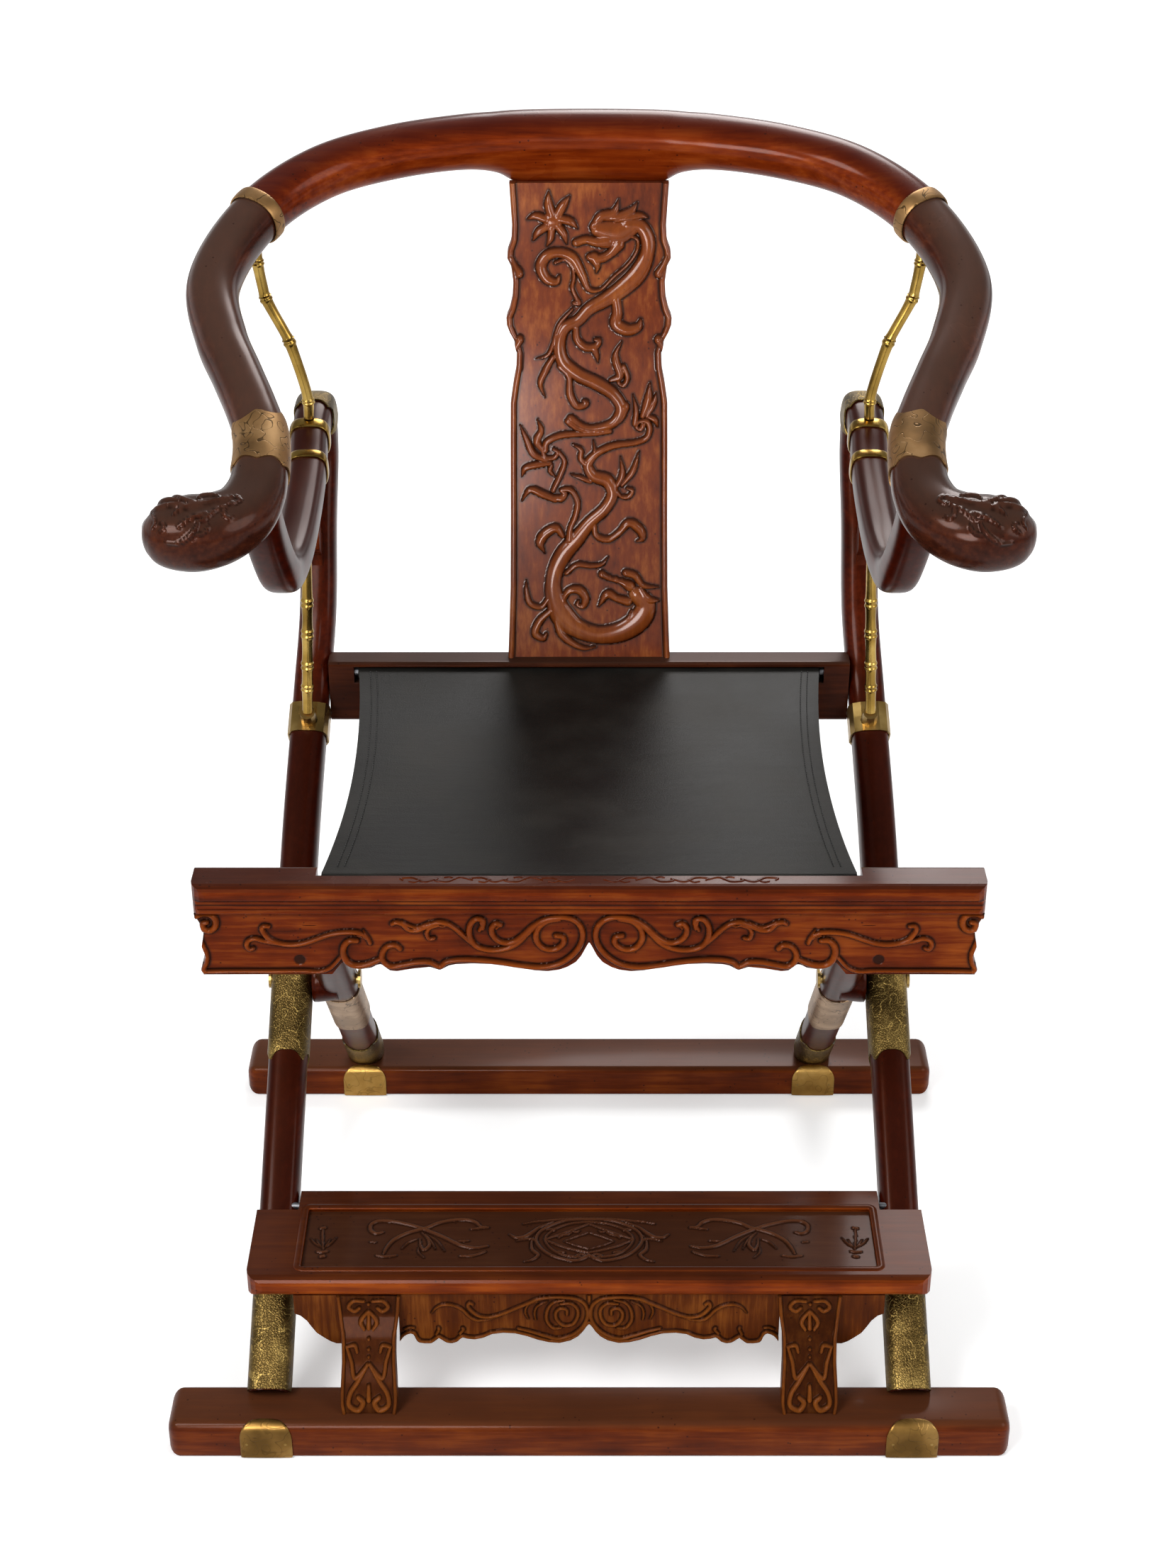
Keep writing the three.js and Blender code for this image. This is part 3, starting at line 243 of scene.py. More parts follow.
def smooth_line(rows, shares):
    """Centripetal Catmull-Rom curve through the rows, at shares of their count. Columns past
    the third are sizes and are carried by the same weights as the place."""
    rows = np.asarray(rows, float)
    count = len(rows)
    place = np.clip(shares, 0, 1) * (count - 1)
    i = np.minimum(place.astype(int), count - 2)
    w = (place - i)[:, None]
    before = np.vstack([2 * rows[0] - rows[1], rows, 2 * rows[-1] - rows[-2]])
    p0, p1, p2, p3 = before[i], before[i + 1], before[i + 2], before[i + 3]
    gaps = [np.maximum(np.linalg.norm((b - a)[:, :3], axis=1), 1e-3)[:, None] ** 0.5
            for a, b in ((p0, p1), (p1, p2), (p2, p3))]
    d0, d1, d2 = gaps
    t1 = ((p1 - p0) / d0 - (p2 - p0) / (d0 + d1) + (p2 - p1) / d1) * d1
    t2 = ((p2 - p1) / d1 - (p3 - p1) / (d1 + d2) + (p3 - p2) / d2) * d1
    return (p1 + t1 * w + (-3 * p1 + 3 * p2 - 2 * t1 - t2) * w ** 2
            + (2 * p1 - 2 * p2 + t1 + t2) * w ** 3)


def bar_grid(rows, upright, square, shares, sides=40, grow=0.0, ends=None):
    """Rings round a smooth line of (x, y, z, wide, high, drop). A ring is a superellipse of
    power square; its high side follows the upright hint and its lower half hangs by drop.
    ends, a share per ring and side, moves each point along the line instead of one share."""
    angle = 2 * np.pi * (np.arange(sides) + 0.5) / sides
    share = np.broadcast_to(np.asarray(shares)[:, None], (len(shares), sides)) if ends is None else ends
    flat = share.reshape(-1)
    at = smooth_line(rows, flat)
    along = smooth_line(rows, np.minimum(flat + 1e-3, 1)) - smooth_line(rows, np.maximum(flat - 1e-3, 0))
    along = along[:, :3] / np.linalg.norm(along[:, :3], axis=1, keepdims=True)
    hint = np.asarray(upright, float)
    high = hint - along * (along @ hint)[:, None]
    high /= np.linalg.norm(high, axis=1, keepdims=True)
    wide = np.cross(high, along)
    c = np.tile(np.cos(angle), len(shares))
    s = np.tile(np.sin(angle), len(shares))
    power = 2 / square
    a = (at[:, 3] / 2 + grow) * np.sign(c) * np.abs(c) ** power
    b = (at[:, 4] / 2 + grow) * np.sign(s) * np.abs(s) ** power
    points = at[:, :3] + wide * a[:, None] + high * b[:, None]
    points[:, 2] += np.where(s < 0, s * at[:, 5], 0)
    return points.reshape(len(shares), sides, 3)


def capped(grid):
    """Points and faces of a closed bar: rings, with a fan of triangles over each end."""
    rows, sides, _ = grid.shape
    points = np.vstack([grid.reshape(-1, 3), grid[0].mean(0), grid[-1].mean(0)])
    faces = ring_faces(rows, sides)
    first, last = rows * sides, rows * sides + 1
    for j in range(sides):
        k = (j + 1) % sides
        faces += [[k, j, first], [(rows - 1) * sides + j, (rows - 1) * sides + k, last]]
    return points, faces


def both_sides(name, shape, material, body, node_name, marks=None):
    """The right piece and its mirrored left piece, each riding on its body."""
    for side, side_shape in (("right", shape), ("left", mirrored(*shape))):
        made = mesh_piece(name + "_" + side, *side_shape, material, marks)
        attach(made, body)
        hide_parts(node_name + "_" + side)


leg_wide, leg_square, pivot_y, pivot_z = 35, 3.2, 341, 270


def leg_row(z, x=None):
    """A row of the leg's straight part, from the stretcher's top at Z 37 through the pivot; it
    leans in by 3.6 mm on that way."""
    up = (z - 37) / (pivot_z - 37)
    return 280 - 3.6 * up if x is None else x, 39 + (pivot_y - 39) * up, z, leg_wide, leg_wide, 0


outer_leg_rows = [(280, 39.6, 37.5, leg_wide, leg_wide, 0), leg_row(153.5), leg_row(pivot_z), leg_row(361.5),
                  leg_row(453, 270.5)]
outer_leg_rows += [(x, y, z, leg_wide, leg_wide, 0) for x, y, z in (
    (264.5, 612, 520), (263, 648, 600), (261, 676, 660), (261, 676, 688))]
outer_leg_rows += [(261, 674.6, 695.5, 34.4, 33, 0), (261, 671, 702.5, 31, 25, 0)]
leg_grid = bar_grid(outer_leg_rows, (1, 0, 0), leg_square, np.linspace(0, 1, 120))
leg_grid[:, :, 2] = np.maximum(leg_grid[:, :, 2], 37.3)
both_sides("leg_outer", capped(leg_grid), wood_y, "outer_frame", "outer_leg")

# INNER LEGS
# They cross inside the outer legs and carry the front seat rail; a round raised pad on the
# outer face of each bears against the outer leg at the pin.


def joined(shapes):
    """Several point and face sets as one."""
    points, faces = np.zeros((0, 3)), []
    for p, f in shapes:
        faces += [[int(v) + len(points) for v in face] for face in f]
        points = np.vstack([points, p])
    return points, faces


inner_x, inner_wide, inner_square = 234, 34, 2.6
inner_leg_rows = [(inner_x, pivot_y - (z - pivot_z) * 211.06 / 236, z, inner_wide, inner_wide, 0)
                  for z in (34.5, 152, 270, 364.5, 458.5)]
inner_grid = bar_grid(inner_leg_rows, (1, 0, 0), inner_square, np.linspace(0, 1, 80))
inner_grid[:, :, 2] = np.clip(inner_grid[:, :, 2], 34.3, 458.7)
turn = 2 * np.pi * np.arange(64) / 64
pad = np.array([[(x, pivot_y + r * np.cos(t), pivot_z + r * np.sin(t)) for t in turn]
                for x, r in ((inner_x, 20), (252, 22), (256, 22), (256.7, 21.3), (256.7, 0.5))])
both_sides("leg_inner", joined([capped(inner_grid), capped(pad)]), wood_y, "inner_frame", "inner_leg")

# GOOSE-NECKS
# The carved curve that leaves the peak of each outer leg, runs forward and turns up under
# the arm. Cut from one plank, so its section is a little deeper than wide.
neck_rows = [(261, 675.5, 691), (261, 662, 706), (261, 640, 708), (262, 607, 701), (260.5, 565, 688),
             (261, 500, 672), (263, 440, 662), (266, 398, 662), (267, 368, 676), (270, 342, 708),
             (272, 318, 745), (272, 310.5, 761)]
neck_rows = [row + (35, 34, 0) for row in neck_rows]
neck = capped(bar_grid(neck_rows, (1, 0, 0), leg_square, np.linspace(0, 1, 120)))
both_sides("neck", neck, wood_y, "outer_frame", "goose_neck")

# HORSESHOE RAIL
# Three lengths bent in one slanting plane, spliced under brass collars: the crest over the
# splat with its cove, and two arms that end in knobs carved with curling leaves.
rail_slope, rail_square = 0.44, 2.3
rail_up = np.array((0, -rail_slope, 1)) / math.hypot(1, rail_slope)
rail_stations = [
    (0, 715, 50, 48.8, 18), (66, 713.8, 50, 48.3, 18), (88, 711.8, 50, 47.4, 5.4), (115, 709, 50, 46.9, 0),
    (181, 696, 48, 46, 0), (244, 670, 47, 45.1, 0), (298, 617, 46, 45.1, 0), (330, 533, 46, 46, 0),
    (317, 470, 45, 45.1, 0), (300, 430, 44, 44.2, 0), (284, 392, 44, 43.2, 0), (274, 362, 45, 42.8, 0),
    (272, 330, 46, 42.8, 0), (274, 306, 49, 43.2, 0), (284, 284, 54, 48.8, 0), (304, 270, 60, 56, 0),
    (327, 266, 61, 58, 0), (350, 270, 47, 45, 0), (361, 274, 12, 12, 0)]
right_rows = [(x, y, 640.4 + rail_slope * y, wide, high, drop) for x, y, wide, high, drop in rail_stations]
rail_rows = [(-r[0],) + r[1:] for r in right_rows[:0:-1]] + right_rows
# The crest is warmer than the arms, which are dark, with a painted grey-brown sheen on their tops.
wood_rail = waxed_hardwood("waxed_hardwood_rail", "#4c1404", "#742806", "#924012", "#3c1008", "x", 0.24, 0.15)
wood_arm = waxed_hardwood("waxed_hardwood_arm", "#28100a", "#401b10", "#5c2c18", "#463229", "y", 0.22, 0.15)


def relief(x, z, strokes, rise):
    """Height of carved strokes over a field: each stroke is a smooth line of (x, z, radius);
    over it the height is rise times the root of one minus the squared share of the radius
    (a rounded bead), and the tallest stroke wins. Also how close each place is to an edge."""
    height = np.zeros(x.shape)
    edge = np.full(x.shape, 9.0)
    for stroke in strokes:
        line = np.asarray(stroke, float)
        radius = line[:, 2]
        line = np.column_stack([line[:, 0], 0 * radius, line[:, 1], radius, radius, radius])
        length = np.linalg.norm(np.diff(line[:, :3], axis=0), axis=1).sum()
        line = smooth_line(line, np.linspace(0, 1, max(4, int(length / 0.9))))
        radius = np.maximum(line[:, 3], 0.3)
        reach = radius.max() + 4
        near = ((x > line[:, 0].min() - reach) & (x < line[:, 0].max() + reach)
                & (z > line[:, 2].min() - reach) & (z < line[:, 2].max() + reach))
        if not near.any():
            continue
        gap = np.hypot(x[near][:, None] - line[:, 0], z[near][:, None] - line[:, 2])
        share = gap / radius
        bead = (rise * np.minimum(1, 0.45 + radius / 7) * np.sqrt(np.clip(1 - share ** 2, 0, 1))).max(1)
        height[near] = np.maximum(height[near], bead)
        edge[near] = np.minimum(edge[near], (gap - radius).min(1))
    return height, edge


def beside(edge, place, width):
    """A dark line beside an edge: a Gaussian of the distance from it."""
    return np.exp(-((edge - place) / width) ** 2)


crest = capped(bar_grid(rail_rows, rail_up, rail_square, np.linspace(0.33353, 0.66647, 200), 72))
piece = mesh_piece("rail_crest", *crest, wood_rail)
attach(piece, "outer_frame")
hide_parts("crest_rail_centre")
# Each leaf stroke is (x, slant, radius); slant is half the depth plus 0.866 of the height, so
# the drawing lies on the knob as it is seen from above its front.
leaf_strokes = [
    [(283.4, 817.6, 0.7), (288.8, 817, 1.3), (296.8, 814.6, 1.9), (306.4, 811.7, 2), (315.1, 811.4, 1.9),
     (323.9, 813.7, 1.8), (331.2, 816.7, 1.5), (337.8, 819, 0.7)],
    [(304.2, 811.1, 0.9), (312.9, 809.7, 1.8), (321.7, 808.2, 2.2), (329, 805.3, 1.9), (333.1, 801.5, 0.9)],
    [(321.7, 809.7, 0.9), (330.5, 810.2, 1.8), (340, 809.4, 2), (348.8, 807.3, 1.5), (353.9, 804.4, 0.6)],
    [(329, 813.7, 0.7), (336.3, 814.6, 1.6), (343.7, 814.3, 1.6), (351, 811.4, 0.7)],
    [(299, 818.4, 0.7), (306.4, 819, 1.5), (312.9, 817.8, 1.5), (315.6, 815.2, 0.7)],
    [(283.4, 817.6, 1), (281.9, 814.6, 1.3), (284.3, 811.7, 1.2), (287.3, 812.6, 0.7)],
    [(285.1, 811.4, 0.9), (291, 810.2, 1.5), (293.2, 806.4, 1.6), (292.7, 801.8, 1.6), (289.5, 798.5, 1.3),
     (286.3, 800.3, 0.7)],
    [(291, 810.5, 0.7), (296.8, 807.3, 1.5), (302, 803.2, 1.9), (307.1, 798.5, 1.6), (312.2, 795.6, 1),
     (314.4, 796.2, 0.6)],
    [(302.7, 802.5, 0.7), (310, 801.5, 1.6), (318.1, 798.5, 1.9), (324.6, 794.7, 1.3), (329.6, 790.9, 0.6)],
    [(312.2, 795.6, 0.7), (314.4, 790, 1.6), (318.8, 784.2, 1.9), (325.4, 779.5, 1.8), (332.7, 777.5, 1.2),
     (339, 778.6, 0.6)],
    [(304.2, 793, 0.6), (306.4, 788.3, 1.3), (310.7, 785.4, 1.3), (315, 785.4, 0.6)],
    [(352.4, 802.5, 0.6), (348.8, 799.1, 1.2), (347.8, 794.4, 1.2), (350.7, 790, 0.6)],
    [(344.2, 793.9, 0.6), (340, 793.9, 1), (340.4, 789.8, 1.2), (344.8, 786.8, 0.7)],
]
leaf_rise = 3.4
grid = bar_grid(rail_rows, rail_up, rail_square, np.linspace(0.66687, 1, 300), 96)
lift, edge = relief(grid[:, :, 0], 0.5 * grid[:, :, 1] + 0.866 * grid[:, :, 2], leaf_strokes, leaf_rise)
away = grid - grid.mean(1, keepdims=True)
away /= np.maximum(np.linalg.norm(away, axis=2, keepdims=True), 1e-6)
facing = np.clip((away @ (0, -0.866, 0.5)) * 3.0, 0, 1)
grid = grid + away * (lift * facing)[:, :, None]
# The knob is made darker all over. That darkening and the painted shade beside the leaves share the recess
# mark, and raised is a painted highlight, partly rubbed wear.
knob_darkening = 0.3 * np.clip((340 - grid[:, :, 1]) / 40, 0, 1)
recess = np.maximum(beside(edge, 0.3, 0.7) * 0.85 * facing, knob_darkening)
raised = np.clip(lift / leaf_rise, 0, 1) * 0.35 * facing
both_sides("rail_arm", capped(grid), wood_arm, "outer_frame", "crest_rail",
           {"recess": np.append(recess, (0, 0.3)), "raised": np.append(raised, (0, 0))})

# BACK SPLAT
# One thick board between rear seat rail and crest. Its ground is cut back, leaving a beaded
# edge with curled cusps, two dragons and a winding vine standing in rounded relief.
# Warm brown with a deeper polish, so that the rounded carving catches the light.
wood_splat = waxed_hardwood("waxed_hardwood_carved", "#4c1a06", "#6e2c0a", "#95501f", "#5a2c1c", "z",
                            0.26, 0.5)


def board(name, front, back, material, marks=None, every=4):
    """A closed board from two grids of points: the front grid in full, of the back grid each
    fourth row and column, and a band round the four sides that joins each coarse step of the
    back's edge to the fine steps of the front's."""
    rows, columns, _ = front.shape
    i, j = np.meshgrid(np.arange(rows - 1), np.arange(columns - 1), indexing="ij")
    a = i * columns + j
    faces = np.stack([a, a + 1, a + columns + 1, a + columns], -1).reshape(-1, 4).tolist()
    keep_rows = np.unique(np.append(np.arange(0, rows, every), rows - 1))
    keep_columns = np.unique(np.append(np.arange(0, columns, every), columns - 1))
    coarse = back[np.ix_(keep_rows, keep_columns)]
    wide = len(keep_columns)
    i, j = np.meshgrid(np.arange(len(keep_rows) - 1), np.arange(wide - 1), indexing="ij")
    b = rows * columns + i * wide + j
    faces += np.stack([b, b + wide, b + wide + 1, b + 1], -1).reshape(-1, 4).tolist()
    loop = [(0, c) for c in range(columns)] + [(r, columns - 1) for r in range(1, rows)] \
        + [(rows - 1, c) for c in range(columns - 2, -1, -1)] + [(r, 0) for r in range(rows - 2, 0, -1)]
    row_place = {r: k for k, r in enumerate(keep_rows.tolist())}
    column_place = {c: k for k, c in enumerate(keep_columns.tolist())}
    stops = [k for k, (r, c) in enumerate(loop) if r in row_place and c in column_place]
    for k0, k1 in zip(stops, stops[1:] + [len(loop)]):
        fine = [loop[k % len(loop)] for k in range(k0, k1 + 1)]
        behind = [rows * columns + row_place[r] * wide + column_place[c] for r, c in (fine[0], fine[-1])]
        faces.append([r * columns + c for r, c in fine[::-1]] + behind)
    plain = np.zeros(coarse.shape[0] * wide)
    filled = {key: np.append(np.ravel(v), plain) for key, v in (marks or {}).items()}
    points = np.vstack([front.reshape(-1, 3), coarse.reshape(-1, 3)])
    return mesh_piece(name, points, faces, material, marks=filled)


def facing_grid(x, y, z):
    """A (rows, columns, 3) grid from three grids of which some may be plain numbers."""
    x, y, z = np.broadcast_arrays(x, y, z)
    return np.stack([x, y, z], -1).astype(float)


def smoothed(values, kernel, **padding):
    """A row of numbers averaged under a kernel; past its ends it goes on as the padding says."""
    return np.convolve(np.pad(values, len(kernel) // 2, **(padding or {"mode": "edge"})), kernel, "valid")


def edge_bead(inward, radius, rise):
    """A half-round bead along an edge: rise times the root of one minus the squared share of
    the radius."""
    return np.clip(1 - (np.abs(inward - radius) / radius) ** 2, 0, 1) ** 0.5 * rise


# Each row is (share of the height, share of the half width, share of the lean).
splat_rows = np.array([
    (0, 1.0, 0), (0.06, 0.985, 0.05), (0.15, 0.965, 0.13), (0.3, 0.955, 0.27), (0.45, 0.95, 0.42),
    (0.53, 0.945, 0.5), (0.57, 0.91, 0.54), (0.6, 0.875, 0.57), (0.63, 0.868, 0.6), (0.655, 0.9, 0.63),
    (0.67, 0.95, 0.65), (0.685, 0.985, 0.665), (0.7, 0.99, 0.68), (0.715, 0.95, 0.7), (0.74, 0.915, 0.73),
    (0.77, 0.905, 0.765), (0.8, 0.93, 0.8), (0.815, 0.975, 0.815), (0.83, 0.97, 0.832), (0.85, 0.925, 0.855),
    (0.88, 0.915, 0.885), (0.92, 0.93, 0.925), (0.96, 0.945, 0.965), (1, 0.95, 1)])
up_share = np.linspace(0, 0.962, 520)[:, None]
across_share = np.linspace(-1, 1, 168)[None, :]
half = 78.5 * np.interp(up_share, splat_rows[:, 0], splat_rows[:, 1])
height = 485.3 + 448.7 * up_share
splat_x = across_share * half
splat_z = np.broadcast_to(height, splat_x.shape).copy()
splat_y = 575 + 125 * np.interp(up_share[:, 0], splat_rows[:, 0], splat_rows[:, 2])
for _ in range(2):
    splat_y = smoothed(splat_y, np.ones(41) / 41, mode="reflect", reflect_type="odd")
splat_y = splat_y[:, None]
dragon_strokes = [
    [(-35, 890, 3.9), (-37.6, 899.1, 3.5), (-37.5, 909.9, 0.5)],
    [(-29.7, 888.3, 3.5), (-24.4, 897.4, 3.5), (-18.2, 905.7, 0.5)],
    [(-27, 885.8, 3.2), (-17.3, 883.3, 3.2), (-10.8, 877.5, 0.5)],
    [(-28.8, 879.2, 3.2), (-23.5, 872.5, 3), (-20.9, 864.2, 0.7)],
    [(-35, 876.7, 3.2), (-35.9, 869.2, 2.8), (-39.5, 862.2, 0.7)],
    [(-39.4, 879.2, 3.2), (-47.4, 874.2, 3), (-52.4, 866.7, 0.5)],
    [(-41.2, 885.8, 3.2), (-50, 888.3, 2.8), (-57.6, 885.5, 0.5)],
    [(-35, 884.5, 7.1), (-32.5, 884.5, 7.1)],
    [(-33.9, 884.5, 3.5), (-33.2, 884.5, 3.5)],
    [(4.7, 880.8, 2.5), (10.9, 887.5, 3.9), (23.3, 891.6, 3.2), (27.6, 902.4, 0.5)],
    [(14.5, 886.2, 2.1), (28.6, 888.3, 3.5), (39.1, 892.5, 3.2), (44.8, 899.9, 0.5)],
    [(25.1, 885, 2.5), (39.2, 887.5, 3.2), (48, 888.8, 2.5), (55.1, 886.7, 0.5)],
    [(3.5, 879.2, 2.7), (4.2, 880.8, 2.6)],
    [(-12.1, 865, 3.2), (-3.2, 867.5, 3.2), (7.4, 865.5, 3.9), (16.3, 866.7, 6)],
    [(7.4, 876.7, 5.3), (18, 875, 8.1), (28.6, 874.2, 8.8), (39.2, 879.2, 7.1)],
    [(0.3, 852.5, 2.8), (11, 851.2, 3.5), (19.8, 855.5, 3.5), (27.8, 863.4, 4.6)],
    [(4.8, 851.7, 4.6), (7.8, 845, 2.5), (6.9, 838.8, 0.5)],
    [(15.9, 874.2, 2.8), (17.1, 872.5, 2.8)],
    [(23.3, 865.9, 1.8), (21.6, 860.9, 1.4)],
    [(35.7, 880.8, 6), (48, 879.2, 5.3), (54.5, 869.2, 5.7), (54.5, 855.8, 5.7), (46.5, 839.1, 7.1),
     (34.1, 827.3, 6.8), (16.3, 815.5, 5.7), (0.3, 807.1, 5), (-10.4, 796.9, 4.6), (-22.9, 790.2, 4.6),
     (-27.9, 776.6, 5), (-24.7, 761.2, 5.4), (-10.4, 748.9, 5.4), (7.5, 740.7, 5.4), (23.7, 730.4, 5),
     (30.5, 718.4, 4.7), (23.7, 706, 4), (7.5, 701.1, 2.7), (-5.1, 702, 2.5), (-17.3, 709.4, 3.2)],
    [(29, 863.4, 1.2), (37.5, 870.4, 1.4), (44.9, 867.5, 1.4), (45, 859.2, 1.4), (37.6, 847.5, 1.4),
     (23.4, 835.4, 1.4), (9.6, 823.6, 1.4), (0.3, 824, 2.1), (-6.8, 837.4, 3.6), (-15.6, 851.7, 4.3),
     (-28, 856.2, 3.9), (-40.4, 852.8, 4.3), (-44.9, 843.3, 4.6), (-38.7, 832.7, 3.9), (-30.2, 831, 2.5),
     (-28.1, 835.4, 1.2)],
    [(-31.6, 847.5, 1.4), (-22.7, 850, 1.4), (-15.6, 843.3, 1.4), (-14.2, 834.1, 1.6), (-15.7, 825.6, 1.8),
     (-12.1, 817.2, 1.8), (-9.5, 812.2, 2.1), (-13.9, 812.2, 1.8)],
    [(25.2, 815.5, 3.9), (26.7, 803.7, 4.3), (25.3, 794.4, 5), (36, 788.5, 4.6), (46.4, 791.5, 3.2),
     (48.5, 797.3, 1.2)],
    [(-12.5, 793.6, 2.5), (-11.1, 780, 3.2), (-3.2, 773.2, 3.2), (5.7, 773.9, 2.9), (9.6, 779.1, 2.1),
     (5.7, 780, 1.4)],
    [(4.8, 772.3, 3.2), (7.1, 766.4, 2.1), (8.6, 759.9, 0.5)],
    [(-15.7, 806.8, 1.2), (-28.2, 793.2, 1.6), (-33.6, 776.6, 1.8), (-39, 766.4, 1.6), (-49.8, 763, 0.5)],
    [(-33.7, 764.7, 2.1), (-40.9, 752.7, 2.9), (-45.9, 740.7, 2.2), (-41.7, 728.7, 0.5)],
    [(-28.3, 756.1, 1.8), (-19.4, 747.2, 2.2), (-17.6, 730.4, 3.2), (-10.5, 720.1, 2.9), (-2.4, 723.2, 2.5),
     (-5.1, 725.3, 1.4)],
    [(20.1, 743.8, 1.6), (29, 747.6, 3.2), (25.4, 761.2, 3.2), (25.4, 768.1, 2.1), (30.7, 778.3, 0.5)],
    [(32.6, 756.1, 2.1), (36.2, 745.9, 2.2), (32.3, 739, 1.8), (27.6, 742.1, 1.6), (29.4, 745, 1.3)],
    [(43.6, 704.6, 2.5), (44.6, 716.7, 2.2), (41.6, 730.4, 0.5)],
    [(50.7, 711.5, 2.2), (55.7, 725.3, 3.6), (57.7, 741.6, 0.5)],
    [(54.7, 711.5, 1.8), (61.4, 723.5, 2.5), (63.5, 732.1, 0.5)],
    [(54.3, 711.5, 1.4), (62.4, 708, 2.5), (65.2, 701.5, 0.5)],
    [(51.3, 703.4, 2.4), (48.7, 699.3, 1.9), (44.9, 701.7, 1.7), (47, 705.9, 1.5), (54.7, 706.7, 2.1),
     (57.6, 700.1, 2.4), (54.8, 691.9, 2.4), (45.4, 687.6, 2.4), (23, 684.3, 2.8), (6.7, 677, 3.1),
     (-1, 667, 4.1), (4.1, 657.1, 4.8), (17.9, 651.7, 5.5), (22.4, 640.4, 4.8), (15.4, 627, 4.8),
     (0.7, 613.6, 5.2), (-11.5, 598.5, 6.2), (-23.6, 585, 6.9), (-31.7, 569.8, 6.6), (-34.5, 554.5, 6.6),
     (-32.1, 539.2, 8), (-25.5, 525.6, 9.8), (-11.6, 513.6, 8.1), (9.5, 507.1, 7.4), (32.2, 510.8, 8.4),
     (49.7, 523, 9.1), (54.8, 535.8, 8), (46, 546, 6.6)],
    [(39.4, 553.7, 4.5), (30.3, 558.3, 2.4), (19.8, 561.3, 2.3), (12.5, 565.1, 3.1)],
    [(19.8, 562.2, 2.1), (20.5, 561.3, 2.1)],
    [(25.9, 560.8, 2.1), (26.5, 560.3, 2.1)],
    [(31.7, 558.8, 2.1), (32.1, 557.9, 2.1)],
    [(37.4, 539.2, 3.8), (26.9, 542.3, 3.1), (18.1, 546.4, 3.5), (9.4, 534.8, 0.7)],
    [(35.5, 566.4, 3.1), (43.9, 563.9, 3.1), (52.1, 554.5, 2.4), (66.9, 552.8, 0.7)],
    [(49.5, 551.1, 2.4), (56.9, 541.3, 3.5), (67.4, 540.2, 0.7)],
    [(42.5, 549.1, 2.4), (43.9, 547.7, 2.4)],
    [(-23.4, 530.7, 1.7), (-24.1, 542.6, 2.4), (-18.5, 549.8, 3.1), (-8.9, 549.8, 3.8), (-3.5, 542.3, 3.5),
     (-5.9, 534.8, 2.4), (-11.5, 536.5, 1.6), (-10.1, 539.6, 1.2)],
    [(-18.9, 533.2, 1), (-11.6, 520.8, 1.2), (2.4, 513.6, 1.2), (19.9, 514.3, 1.2), (35.7, 521.8, 1.2),
     (41.2, 530.7, 1)],
    [(-19.9, 706.7, 2.7), (-11.3, 700.4, 2.4), (2.4, 698.1, 2.1), (17.8, 701.7, 2.7), (28.4, 710, 4.1),
     (33.2, 719.8, 4.5)],
    [(-41.4, 680.3, 2.4), (-40.6, 686.9, 2.7), (-28.5, 693.2, 2.7), (-11.3, 695.2, 2.6), (5.8, 695.8, 2.4),
     (19.6, 698.1, 2.4)],
    [(-44, 680.3, 2.1), (-41.5, 673.7, 2.1), (-32.9, 673.7, 2.1), (-29.9, 678.6, 1.7), (-33.7, 681.1, 1.4)],
    [(-40.6, 671.2, 2.1), (-52.6, 676.6, 2.9), (-59.4, 690.2, 2.4), (-65.4, 703.4, 0.5)],
    [(-44, 680, 2.1), (-49.5, 688.6, 3.1), (-45.3, 698.5, 2.4), (-49, 708.3, 0.5)],
    [(-37.2, 668.4, 2.1), (-51, 666.7, 2.8), (-61, 663.4, 2.4), (-64, 656.1, 0.5)],
    [(-28.6, 678.6, 1.7), (-23.4, 670.4, 2.1), (-26.9, 658.7, 2.4), (-34.2, 643.4, 2.1)],
    [(-35.5, 666.7, 1.5), (-37.2, 661.7, 2.1), (-31.7, 655.4, 0.5)],
    [(-32.1, 637.1, 2.1), (-27, 636.1, 3.1), (-22.6, 640.4, 2.1), (-26.9, 643.4, 1.7), (-18.3, 644.1, 2.4),
     (-11.1, 633.7, 2.6), (-12.8, 620.4, 2.4), (-17.7, 608.6, 2.4), (-18.7, 597.7, 3.5)],
    [(-32.1, 635.1, 2.8), (-45.6, 640.4, 3.1), (-55.9, 644.1, 2.6), (-64.3, 633.7, 0.5)],
    [(-25.3, 601, 2.1), (-31.4, 608.3, 3.5), (-41.8, 603.2, 4.2), (-46.9, 594.8, 3.5), (-42.4, 585.4, 0.5)],
    [(5, 612, 2.1), (6.8, 601.9, 2.6), (18, 597.8, 2.8), (28.8, 604.4, 2.8), (38.1, 613.3, 3.5),
     (48.9, 606.9, 3.8), (51.3, 598.9, 2.4), (45.5, 596, 0.7)],
    [(0.7, 664.5, 2.8), (-7.9, 672.8, 2.4), (-7.6, 680.3, 2.1), (-15.8, 685.6, 0.5)],
    [(-1, 670.4, 1.5), (5.2, 680, 1.4), (4.1, 689.2, 0.5)],
    [(1, 651.7, 2.1), (-7.9, 655.1, 1.9), (-17.6, 658.1, 0.5)],
    [(26.9, 641.8, 1.9), (30.4, 637.9, 1.7), (37.8, 637.9, 2.1), (41.4, 643.4, 1.7), (36.6, 645.4, 1.2)],
    [(26.9, 648.4, 2.1), (31.7, 658.7, 2.6), (29.9, 674, 0.5)],
    [(31.4, 648.4, 1.6), (42, 661.7, 2.6), (47.5, 679, 0.5)],
    [(-21.9, 566.1, 1.9), (-11.5, 573.9, 2.3), (2.4, 572.9, 2.1), (12.9, 574.9, 1.6), (18.1, 581, 0.5)],
